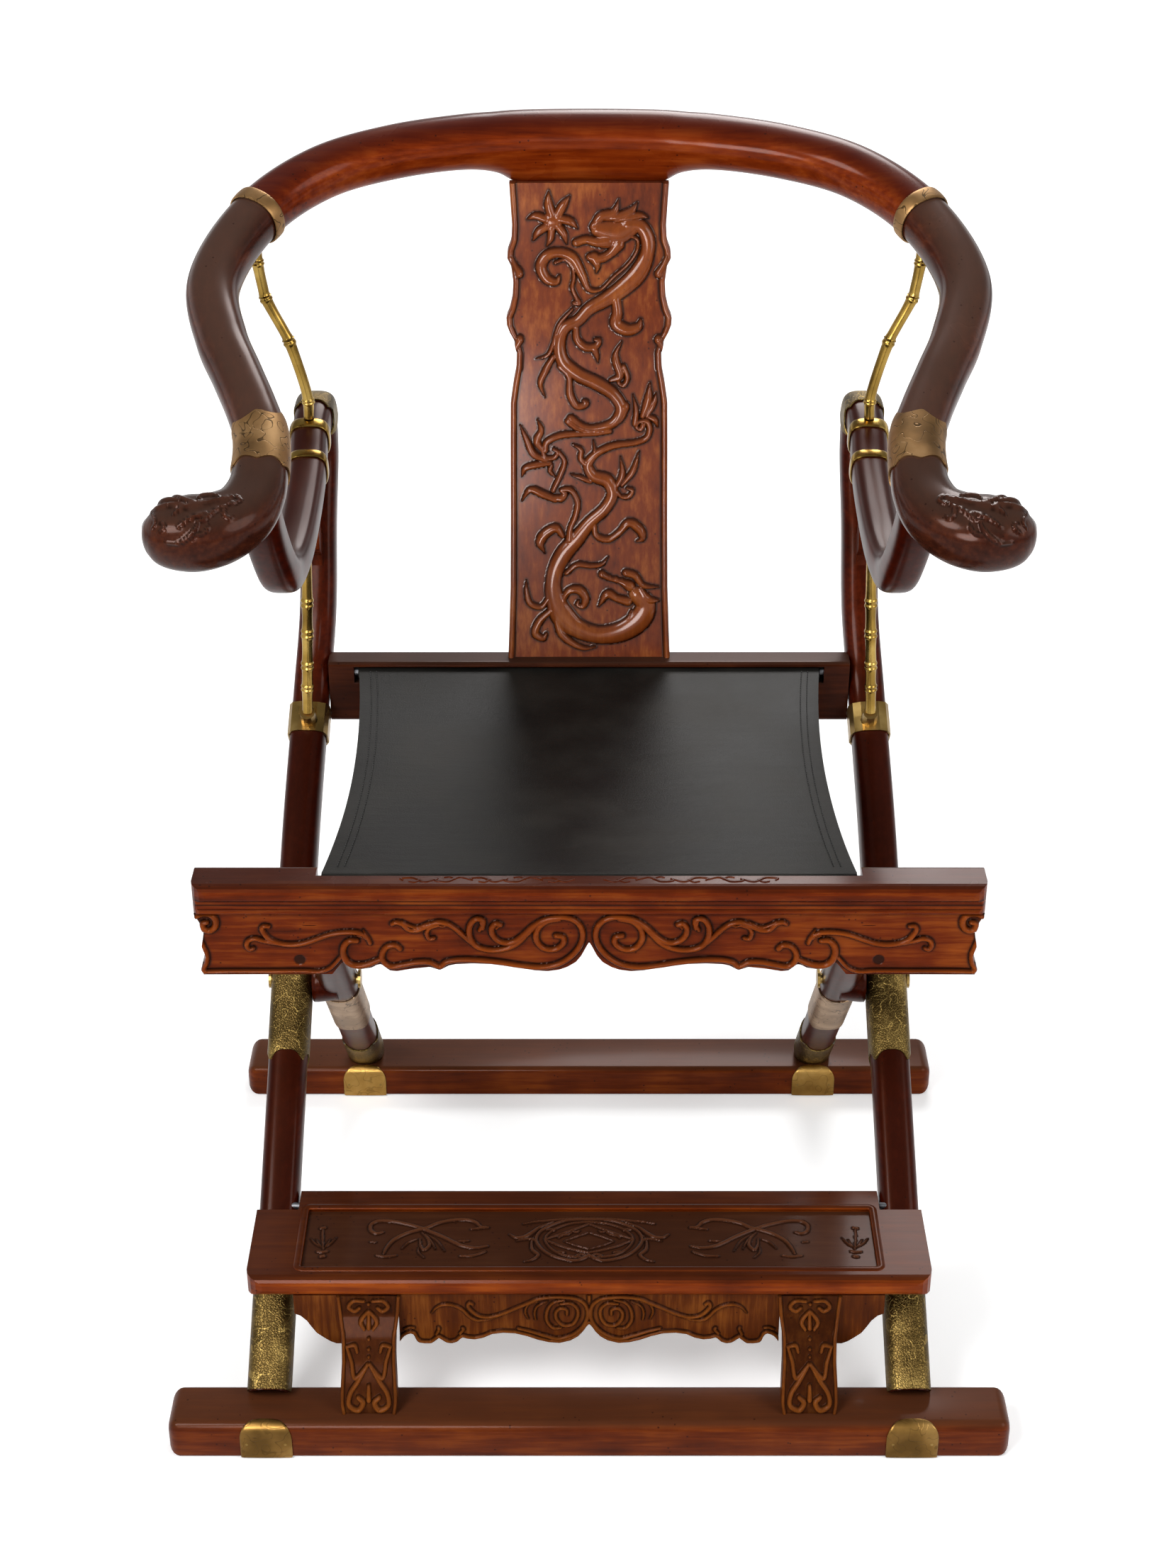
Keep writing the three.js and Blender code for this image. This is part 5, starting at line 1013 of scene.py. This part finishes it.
# BRASS ON THE RAIL AND THE GOOSE-NECKS
# Collars over the rail's splices, wide chased plates on the arms, a cap over each peak, a
# band that carries the upper rod and a narrow ring.
# The rods and rings are cast and polished; the rail's plates are brown with dark engraving.
rod_brass = chased_brass("polished_cast_brass", "#80642e", "#a2823e", "#c8a85e", 0.0, 0.0, 0.2)
rail_brass = chased_brass("chased_brass_worn", "#785a38", "#967248", "#b08c60", 0.0, -0.8, 0.42)
collar = sleeve_grid(rail_rows, rail_square, 0.6644, 0.669, 1.0, 96, 14, upright=rail_up, clear=0.9,
                     bead=0.8)
both_sides("collar_rail", collar, rail_brass, "outer_frame", "crest_collar")
arm_plate = sleeve_grid(rail_rows, rail_square, 0.79447, 0.84026, sheet, 144, 48, 0.0042, 0.0042, 6,
                        rail_up)
both_sides("plate_arm", arm_plate, rail_brass, "outer_frame", "arm_plate")
cap = sleeve_grid(neck_rows, leg_square, 0.012, 0.2, sheet, 72, 40, 0.0, 0.02, 4, clear=0.9)
both_sides("cap_peak", cap, leg_brass, "outer_frame", "neck_cap")
band = sleeve_grid(neck_rows, leg_square, 0.256, 0.286, 0.8, 72, 14, bead=1.2)
both_sides("band_neck", band, rod_brass, "outer_frame", "neck_band")
small_ring = sleeve_grid(neck_rows, leg_square, 0.354, 0.372, 0.8, 72, 14, bead=1.0)
both_sides("ring_neck", small_ring, rod_brass, "outer_frame", "neck_ring")

# BAMBOO-JOINTED BRASS RODS
# Cast and polished struts shaped like bamboo: a slim round rod that swells to a small ridge
# at each node. One pair props the rail, one pair the goose-necks.


def bamboo(places, nodes, steps=320):
    """A round rod along a smooth line; the radius is 4.9 mm, plus two sharp ridges of Gaussian
    section 0.9 mm high close together at each node's share of the line, over a soft swelling."""
    line = [p + (0, 0, 0) for p in places]
    share = np.linspace(0, 1, steps)
    at = smooth_line(line, share)
    radius = np.full(steps, 4.9)
    for k in nodes:
        radius += 0.5 * np.exp(-((share - k) / 0.04) ** 2)
        for ridge in (k - 0.011, k + 0.011):
            radius += 0.9 * np.exp(-((share - ridge) / 0.006) ** 2)
    rows = [(p[0], p[1], p[2], 2 * r, 2 * r, 0) for p, r in zip(at, radius)]
    return capped(bar_grid(rows, (1, 0, 0), 2, np.linspace(0, 1, steps), 24))


upper = bamboo([(300, 603, 886), (299.8, 603, 873), (296.5, 603, 849), (294.8, 603, 840), (280, 603, 808),
                (276, 603, 799), (264, 604, 755), (261.5, 605, 739), (262, 607, 722)],
               (0.125, 0.375, 0.625, 0.875))
both_sides("rod_upper", upper, rod_brass, "outer_frame", "upper_rod")
lower = bamboo([(270.4, 525.5, 453), (268, 527, 500), (265, 529, 560), (262.8, 530.5, 620), (262, 531, 663)],
               (0.14, 0.26, 0.4, 0.53))
both_sides("rod_lower", lower, rod_brass, "outer_frame", "lower_rod")

# SPANDRELS
# Pierced scroll brackets between each upper leg and goose-neck, sawn from thin board. The
# solids are shown as they are, in wood whose grain runs upwards.
for name in ("spandrel_left", "spandrel_right"):
    dress(name, wood_z)

# FOOTREST BOARD
# A framed board that stands in front of the legs and lifts on two pins. Its panel is sunk
# and carved with a medallion between crossed scrolls and small sprigs.
# The frame's front edge is orange and its top painted darker as shade; the panel is dark all over.
wood_footrest = waxed_hardwood("waxed_hardwood_footrest", "#4c1803", "#762e06", "#98460e", "#361a0e", "x",
                               0.28)
wood_panel = waxed_hardwood("waxed_hardwood_panel", "#2c130a", "#45200f", "#6b4028", "#3c2114", "x", 0.3)
dress("footrest_frame", wood_footrest, 0.0025)
panel_x = np.broadcast_to(np.linspace(-250, 250, 640)[None, :], (112, 640)).copy()
panel_y = np.broadcast_to(np.linspace(73, 151.5, 112)[:, None], (112, 640)).copy()
panel_half = [
    [(0, 140.6, 1.2), (19.9, 138.8, 1.2), (34.6, 131.5, 1.2), (44, 122.5, 1.2), (46.7, 112.4, 1.2),
     (42.2, 101.3, 1.2), (32.6, 91.9, 1.2), (19.5, 86.2, 1.2), (10.8, 85.3, 1.2), (3.6, 88.8, 1.2),
     (0, 92.5, 1.2)],
    [(0, 136.9, 0.9), (16.9, 134.2, 0.9), (30.1, 127, 0.9), (38, 116.9, 0.9), (38.4, 111.3, 0.9),
     (32.7, 100.2, 0.9), (22.5, 92.5, 0.9), (10.8, 89.7, 0.9)],
    [(58.2, 134.2, 0.5), (46.5, 137.2, 0.8), (33.2, 139, 1), (17, 141.3, 0.8), (0, 142.4, 0.5)],
    [(69.9, 119.8, 0.7), (65.1, 115.8, 1.1), (57.8, 116.2, 1.5), (51.3, 121.4, 1.5), (44.1, 129.2, 1.1),
     (31.7, 137.2, 0.7)],
    [(63.5, 111.3, 0.5), (56.3, 113.5, 0.9), (50.4, 113.5, 0.9), (46, 110.2, 0.5)],
    [(56.2, 83.8, 0.5), (49.9, 86, 0.9), (44.5, 92.5, 1.3), (49.4, 99.1, 1.3), (50.6, 109.1, 0.9),
     (48.3, 117.6, 0.5)],
    [(38, 113.5, 0.8), (25.6, 119.8, 0.9), (12.5, 127, 0.9), (0, 134.2, 0.8)],
    [(38, 112.4, 0.8), (25.5, 104.6, 0.9), (12.3, 99.1, 0.9), (0, 95.4, 0.8)],
    [(27, 115.3, 0.7), (23.9, 118.5, 0.9), (19, 119.8, 0.9), (15.4, 122.5, 0.7)],
    [(15.4, 124.7, 0.7), (11, 122.9, 0.9), (8.8, 124.7, 0.7)],
    [(26.8, 96.9, 0.9), (21.8, 95.8, 0.9)],
    [(37.4, 125.9, 0.7), (33, 127, 0.9), (30.8, 124.7, 0.7)],
    [(21.2, 111.3, 0.5), (11, 116.9, 0.7), (0, 122.5, 0.5)],
    [(21.1, 110.2, 0.5), (10.9, 104.6, 0.7), (0, 100.2, 0.5)],
    [(10.8, 91.9, 0.9), (6.5, 93.6, 0.9), (2.9, 91.4, 0.9), (6.5, 88.8, 0.9), (10.8, 91.9, 0.9)],
    [(182, 122.9, 0.9), (187, 121.1, 1.2), (192.2, 124.3, 1.5), (193.4, 132.4, 1.5), (188.2, 137.6, 1.5),
     (176.4, 138.1, 1.5), (161.4, 133.8, 1.5), (149.3, 128.8, 1.5), (138.7, 122.9, 1.5), (128.1, 116.2, 1.5),
     (119, 109.5, 1.5), (110, 104.2, 1.5), (99, 102, 1.2), (89.3, 104.2, 0.9)],
    [(89.3, 129.2, 0.9), (95.6, 130.1, 1.2), (100.3, 136, 1.5), (108.6, 139.9, 1.5), (121.8, 139.2, 1.5),
     (134.9, 134.7, 1.5), (143.4, 128.8, 1.5), (152.8, 125.2, 1.5), (162, 120.7, 1.5), (171.7, 112.4, 1.5),
     (177.5, 101.3, 1.2), (179.3, 94.7, 0.9)],
    [(147.5, 122.5, 0.7), (141.8, 113.5, 1), (140.3, 104.6, 1.3), (144.7, 99.1, 1.3), (147.6, 104.6, 1),
     (148.7, 113.5, 0.7)],
    [(142.9, 120.2, 0.4), (133.7, 111.3, 0.8), (126.4, 97.6, 0.3)],
    [(145.3, 122.5, 0.4), (137.9, 109.1, 0.8), (134.5, 100.2, 0.3)],
    [(151.3, 113.5, 0.5), (158.4, 109.1, 0.8), (163.7, 101.3, 0.5)],
    [(149.2, 102.4, 0.5), (148.8, 95.8, 0.8), (144.1, 89.2, 0.5)],
    [(104.3, 127, 0.6), (97.8, 128.1, 0.9), (89.7, 129.2, 0.6)],
    [(112.3, 91, 0.8), (100.7, 91.9, 1), (90.8, 96.7, 0.8)],
    [(185.6, 91.9, 0.8), (177.5, 90.3, 1), (168.6, 91.9, 0.8)],
    [(116.8, 110.2, 0.6), (111.7, 110.9, 0.9), (105.9, 111.3, 0.6)],
    [(192, 110.2, 0.8), (187.6, 109.5, 0.8)],
    [(235.4, 129.2, 0.7), (234.8, 118, 1), (232.6, 100.2, 0.7)],
    [(245, 114.4, 0.4), (240.7, 108, 0.8), (233.9, 102, 0.3)],
    [(222.3, 115.8, 0.4), (227.1, 107.3, 0.8), (231.9, 102, 0.3)],
    [(240.2, 113.5, 0.4), (237, 106.9, 0.8), (233.7, 102.4, 0.3)],
    [(227.7, 113.5, 0.4), (229.4, 107.3, 0.8), (231.9, 102.4, 0.3)],
    [(237.5, 96.9, 1), (232.4, 96.3, 1.2), (228.9, 97.6, 1)],
    [(233.7, 90.3, 1.4), (231.2, 91, 1.4)],
    [(237.2, 128.1, 1.2), (233.7, 128.8, 1.2)],
]
panel_rise = 2.6
carved, edge = relief(panel_x, panel_y, both_halves(panel_half, 1.3), panel_rise)
# recess is painted shade beside the carving's edges; raised is a painted highlight, partly rubbed wear, on
# its tops.
piece = board("panel_carved", facing_grid(panel_x, panel_y, 148.1 + carved),
              facing_grid(panel_x, panel_y, 141.5), wood_panel,
              {"recess": np.clip(beside(edge, 0.3, 0.9) * 0.9 - carved * 0.2, 0, 1),
               "raised": np.clip(carved / 2.4, 0, 1) * 0.5})
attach(piece, "footrest")
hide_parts("footrest_panel")

# FOOTREST MOULDING
# A narrow rounded moulding worked on the frame's inner edge, all round the sunk panel. Its
# section is an ellipse 6.8 mm wide and 3.8 mm high, half of it sunk in the frame.
moulding_line = rounded_section((-253, 70.5), (253, 154), (5, 5, 5, 5), 8)
following = np.roll(moulding_line, -1, 0) - np.roll(moulding_line, 1, 0)
outward = np.stack([following[:, 1], -following[:, 0]], -1)
outward /= np.linalg.norm(outward, axis=1, keepdims=True)
turn = 2 * np.pi * (np.arange(12) + 0.5) / 12
across_line = moulding_line[:, None] + outward[:, None] * (3.4 * np.cos(turn))[None, :, None]
rise = np.broadcast_to(151.4 + 1.9 * np.sin(turn)[None, :], across_line.shape[:2])
moulding = np.concatenate([across_line, rise[:, :, None]], -1).reshape(-1, 3)
piece = mesh_piece("footrest_moulding", moulding, ring_faces(len(moulding_line), 12, closed=True),
                   wood_footrest)
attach(piece, "footrest")

# FOOTREST LEGS
# Two short cabriole boards that lean forward to stand on the stretcher. Each is carved with
# a pair of scrolls, a leaf, a drop of beads and two volutes round an ogee leaf at the foot.
# Darker than the board, brown on the crests of the carving as a painted highlight, partly rubbed wear, with
# painted shade on the ground between.
wood_foot = waxed_hardwood("waxed_hardwood_footrest_leg", "#361507", "#542608", "#824818", "#2c150c", "z",
                           0.32, 0.03)
# Each row is (height, width, depth of the front face).
board_under, foot_x_middle, foot_low = 131.4, 191, 37.4
leg_table = np.array([(131.4, 52, 56.5), (113, 49, 54), (97, 43.5, 43), (77, 43, 33), (60, 45, 23),
                      (46, 46, 16), (37.4, 43, 12)])
heights = np.linspace(foot_low, board_under, 220)
kernel = np.ones(15) / 15
leg_half = smoothed(np.interp(heights, leg_table[::-1, 0], leg_table[::-1, 1]) / 2 + 1.8, kernel)[:, None]
leg_y = smoothed(np.interp(heights, leg_table[::-1, 0], leg_table[::-1, 2]), kernel)[:, None]
u = np.linspace(-1, 1, 130)[None, :]
foot_x = u * leg_half
foot_z = np.broadcast_to(heights[:, None], foot_x.shape).copy()
beads = [[(0, z, r), (0.2, z, r)] for z, r in ((124, 1.6), (96, 1.6), (88, 1.5), (82, 1.3))]
leaf = beads + [[(0, 117, 1.6), (0, 104, 2.2)], [(0, 60, 1.8), (0, 49, 2.4)]]
half_leaf = [
    [(1, 116, 1.4), (7, 108, 1.6), (4, 103, 1.2)],
    [(4, 127, 1.3), (13, 127, 1.5), (17, 121, 1.6), (12, 117, 1.6), (8, 120, 1.4)],
    [(19, 90, 1.2), (12, 91, 1.5), (10, 86, 1.2)],
    [(19, 90, 1.2), (15, 78, 1.5), (12, 66, 1.5), (1, 76, 1.2)],
    [(1, 76, 1.4), (9, 64, 1.8), (16, 54, 1.8), (17, 45, 1.8), (9, 41, 2), (5, 47, 2), (9, 51, 1.6)],
]
leaf += both_halves(half_leaf, 1.3)
leg_rise = 4.0
carved, edge = relief(foot_x, foot_z, leaf, leg_rise)
inward = (1 - np.abs(u)) * leg_half
carved = np.maximum(carved, edge_bead(inward, 1.7, 1.9))
# Painted shade: dark beside the carving's edges and over the low ground between the strokes.
dark = beside(np.minimum(np.abs(edge), np.abs(inward - 3.6)), 0, 0.7)
dark = np.maximum(np.clip(dark * 0.9 - carved * 0.2, 0, 1), 0.55 * np.clip(1 - carved / 1.6, 0, 1))
for side, x in (("right", foot_x + foot_x_middle), ("left", foot_x - foot_x_middle)):
    piece = board("foot_leg_" + side, facing_grid(x, leg_y + 2.4 - carved, foot_z),
                  facing_grid(x, leg_y + 14, foot_z), wood_foot,
                  {"recess": dark, "raised": np.clip(carved / leg_rise, 0, 1) * 0.6})
    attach(piece, "footrest")
    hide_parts("footrest_leg_" + side)

# FOOTREST APRON AND BRACKETS
# A thin lobed board between the short legs and a curved bracket outside each, beaded along
# the lower edge like the seat apron.
apron_table = np.array([
    (1.0, 0.3), (0.94, 0.12), (0.869, 0.03), (0.853, 0.134), (0.833, 0.186), (0.814, 0.208),
    (0.798, 0.178), (0.791, 0.089), (0.778, 0.016), (0.753, 0), (0.723, 0.001), (0.704, 0.06),
    (0.688, 0.119), (0.672, 0.075), (0.652, 0.016), (0.63, 0.001), (0.607, 0.03), (0.591, 0.097),
    (0.578, 0.126), (0.556, 0.097), (0.523, 0.082), (0.484, 0.119), (0.446, 0.193), (0.394, 0.222),
    (0.336, 0.208), (0.281, 0.149), (0.233, 0.075), (0.184, 0.023), (0.136, 0.008), (0.087, 0.06),
    (0.055, 0.141), (0.032, 0.245), (0.013, 0.363), (0, 0.415)])[::-1]
lobed_x = np.broadcast_to(np.linspace(-165.5, 165.5, 560)[None, :], (72, 560)).copy()
bottom = np.interp(np.abs(lobed_x[0]), apron_table[:, 0] * foot_x_middle, apron_table[:, 1])
bottom = smoothed(board_under - (1 - bottom) * 55, (0.25, 0.5, 0.25))
lobed_z = bottom[None, :] + (board_under - bottom[None, :]) * np.linspace(0, 1, 72)[:, None]
edge_line = np.stack([lobed_x[0], bottom + 1.9, np.full(bottom.shape, 1.8)], -1)
edge_strokes = [edge_line[k:k + 44] for k in range(0, 559, 40)]
lobed_half = [
    [(61.7, 93.5, 1.5), (50.4, 89.8, 1.7), (39, 85.3, 1.9), (27.6, 81.9, 1.9), (16.2, 85.3, 1.9),
     (7.6, 92.8, 1.9), (2.5, 101.8, 1.8), (1.3, 112.1, 1.8), (4, 121.4, 1.8), (11.1, 127.1, 1.8),
     (21.7, 129, 1.8), (33, 129, 1.8), (44.3, 126.9, 1.8), (52.8, 122.3, 1.8), (61.4, 117.7, 1.8),
     (70, 113, 1.8), (78.6, 108.9, 1.8), (87.1, 106.5, 1.8), (95.6, 107.8, 1.8), (101.2, 112.5, 1.8),
     (105, 118.6, 1.8), (103.5, 122.7, 1.7), (101, 120.8, 1.5)],
    [(21.7, 126, 1.2), (31.6, 122.3, 1.4), (36.5, 113, 1.7), (36.6, 101.8, 1.7), (31.1, 93.9, 1.5),
     (24.7, 94.3, 1.2)],
    [(24.5, 121.4, 1.4), (16, 121.9, 1.5), (10.4, 115.8, 1.7), (10.1, 106.5, 1.7), (14.7, 98.1, 1.7),
     (22.5, 97.1, 1.7), (28.2, 103.7, 1.7), (28.6, 112.1, 1.7), (24.6, 116.4, 1.7), (19.6, 114.5, 1.5),
     (19.2, 109.3, 1.4)],
    [(136.7, 111.1, 0.6), (132.3, 117.5, 1.1), (125.1, 120.8, 1.6), (116.6, 119.3, 1.6), (109.7, 114.5, 1.6),
     (104.2, 107.4, 1.6), (98.6, 103.3, 1.6), (88.6, 103.7, 1.1), (77.2, 107.4, 0.6)],
    [(44.3, 124.2, 0.7), (52.1, 121.4, 1.1), (55.5, 113, 1.1), (53.1, 104.6, 0.7)],
    [(36.5, 124.2, 0.8), (45, 118.6, 1.1), (47.3, 111.1, 1.1), (46.7, 103.7, 0.9)],
    [(0, 130.6, 1.6), (0, 125.1, 1.6)],
    [(133.2, 86.8, 1.4), (130.9, 92.8, 1.5), (131.3, 94.3, 1.4)],
    [(112.5, 87.7, 1.4), (109.5, 92.4, 1.5), (110.2, 93.9, 1.4)],
    [(160.8, 92.8, 1.2), (156.5, 94.7, 1.2), (152.9, 94.3, 1.2)],
]
lobed_rise = 3.8
carved, edge = relief(lobed_x, lobed_z, edge_strokes + both_halves(lobed_half, 1.0), lobed_rise)
# recess is painted shade beside the carving's edges; raised is a painted highlight, partly rubbed wear, on
# its tops.
piece = board("foot_apron", facing_grid(lobed_x, 61.0 - carved, lobed_z), facing_grid(lobed_x, 69.5, lobed_z),
              wood_foot, {"recess": np.clip(beside(edge, 0.3, 0.8) - carved * 0.25, 0, 1),
                          "raised": np.clip(carved / lobed_rise, 0, 1) * 0.6})
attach(piece, "footrest")
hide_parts("footrest_apron")
for name in ("footrest_bracket_left", "footrest_bracket_right"):
    dress(name, wood_foot)

# FLOOR, LIGHT AND CAMERA
# A plain white studio floor, a large soft light high on the left, a fill from the right, a
# rim light behind and a low soft light that shows only as a sheen in the polish. The camera
# stands where the photograph was taken from.
floor_mesh = bpy.data.meshes.new("studio_floor")
floor_corners = [(x, y, -0.0006) for x, y in ((-12, -12), (12, -12), (12, 12), (-12, 12))]
floor_mesh.from_pydata(floor_corners, [], [(0, 1, 2, 3)])
floor = bpy.data.objects.new("studio_floor", floor_mesh)
bpy.context.scene.collection.objects.link(floor)
# Matt white that glows a little to the camera, less so under the chair, where shadows fall.
paper, tree, shader = new_material("white_paper")
shader.inputs["Base Color"].default_value = linear("#f6f6f6")
shader.inputs["Roughness"].default_value = 0.9
shader.inputs["Specular IOR Level"].default_value = 0.0
ray = node(tree, "ShaderNodeLightPath")
place = node(tree, "ShaderNodeTexCoord").outputs["Object"]
from_chair = node(tree, "ShaderNodeVectorMath", [(place, 0)], operation="LENGTH").outputs["Value"]
strength = mapped(tree, from_chair, From_Min=0.6, From_Max=4.0, To_Min=0.3, To_Max=0.85)
glow = maths(tree, "MULTIPLY", ray.outputs["Is Camera Ray"], strength)
shader.inputs["Emission Color"].default_value = (1, 1, 1, 1)
tree.links.new(glow, shader.inputs["Emission Strength"])
floor_mesh.materials.append(paper)

world = bpy.data.worlds.new("studio")
bpy.context.scene.world = world
world.use_nodes = True
tree = world.node_tree
ray = node(tree, "ShaderNodeLightPath")
# White to the camera, and in reflections near the horizon; the studio's ceiling is dim.
place = node(tree, "ShaderNodeTexCoord").outputs["Generated"]
up = node(tree, "ShaderNodeSeparateXYZ", [(place, 0)]).outputs["Z"]
low_down = mapped(tree, up, interpolation_type="SMOOTHSTEP", From_Min=0.1, From_Max=0.45, To_Min=1.0,
                  To_Max=0.0)
glossy = maths(tree, "MULTIPLY", ray.outputs["Is Glossy Ray"], low_down)
seen = maths(tree, "MAXIMUM", ray.outputs["Is Camera Ray"], ray.outputs["Is Transmission Ray"])
seen = maths(tree, "MAXIMUM", seen, glossy)
background = tree.nodes["Background"]
background.inputs["Color"].default_value = (1, 1, 1, 1)
tree.links.new(mapped(tree, seen, To_Min=0.28, To_Max=1.0), background.inputs["Strength"])

for name, place, aim, size, power in (("key_light", (-2.2, -2.4, 3.4), (0, 0, 0.5), 1.8, 130),
                                      ("fill_light", (2.6, -1.8, 2.2), (0, 0, 0.5), 2.2, 55),
                                      ("back_light", (0.4, 2.6, 2.8), (0, 0, 0.7), 1.6, 60),
                                      ("sheen_light", (-0.62, -2.2, 1.12), (-0.2, 0.3, 0.86), 0.95, 42)):
    lamp = bpy.data.lights.new(name, "AREA")
    lamp.shape = "DISK"
    lamp.size = size
    lamp.energy = power
    light = bpy.data.objects.new(name, lamp)
    light.location = place
    light.rotation_euler = (Vector(aim) - Vector(place)).to_track_quat("-Z", "Y").to_euler()
    light.visible_diffuse = name != "sheen_light"
    bpy.context.scene.collection.objects.link(light)

camera_data = bpy.data.cameras.new("camera")
camera_data.lens = 57.95
camera_data.sensor_width = 36
camera = bpy.data.objects.new("camera", camera_data)
camera.location = (-0.001, -1.97796, 1.605)
camera.rotation_euler = (math.radians(60), 0, 0)
bpy.context.scene.collection.objects.link(camera)
bpy.context.scene.camera = camera
bpy.context.scene.view_settings.view_transform = "Standard"
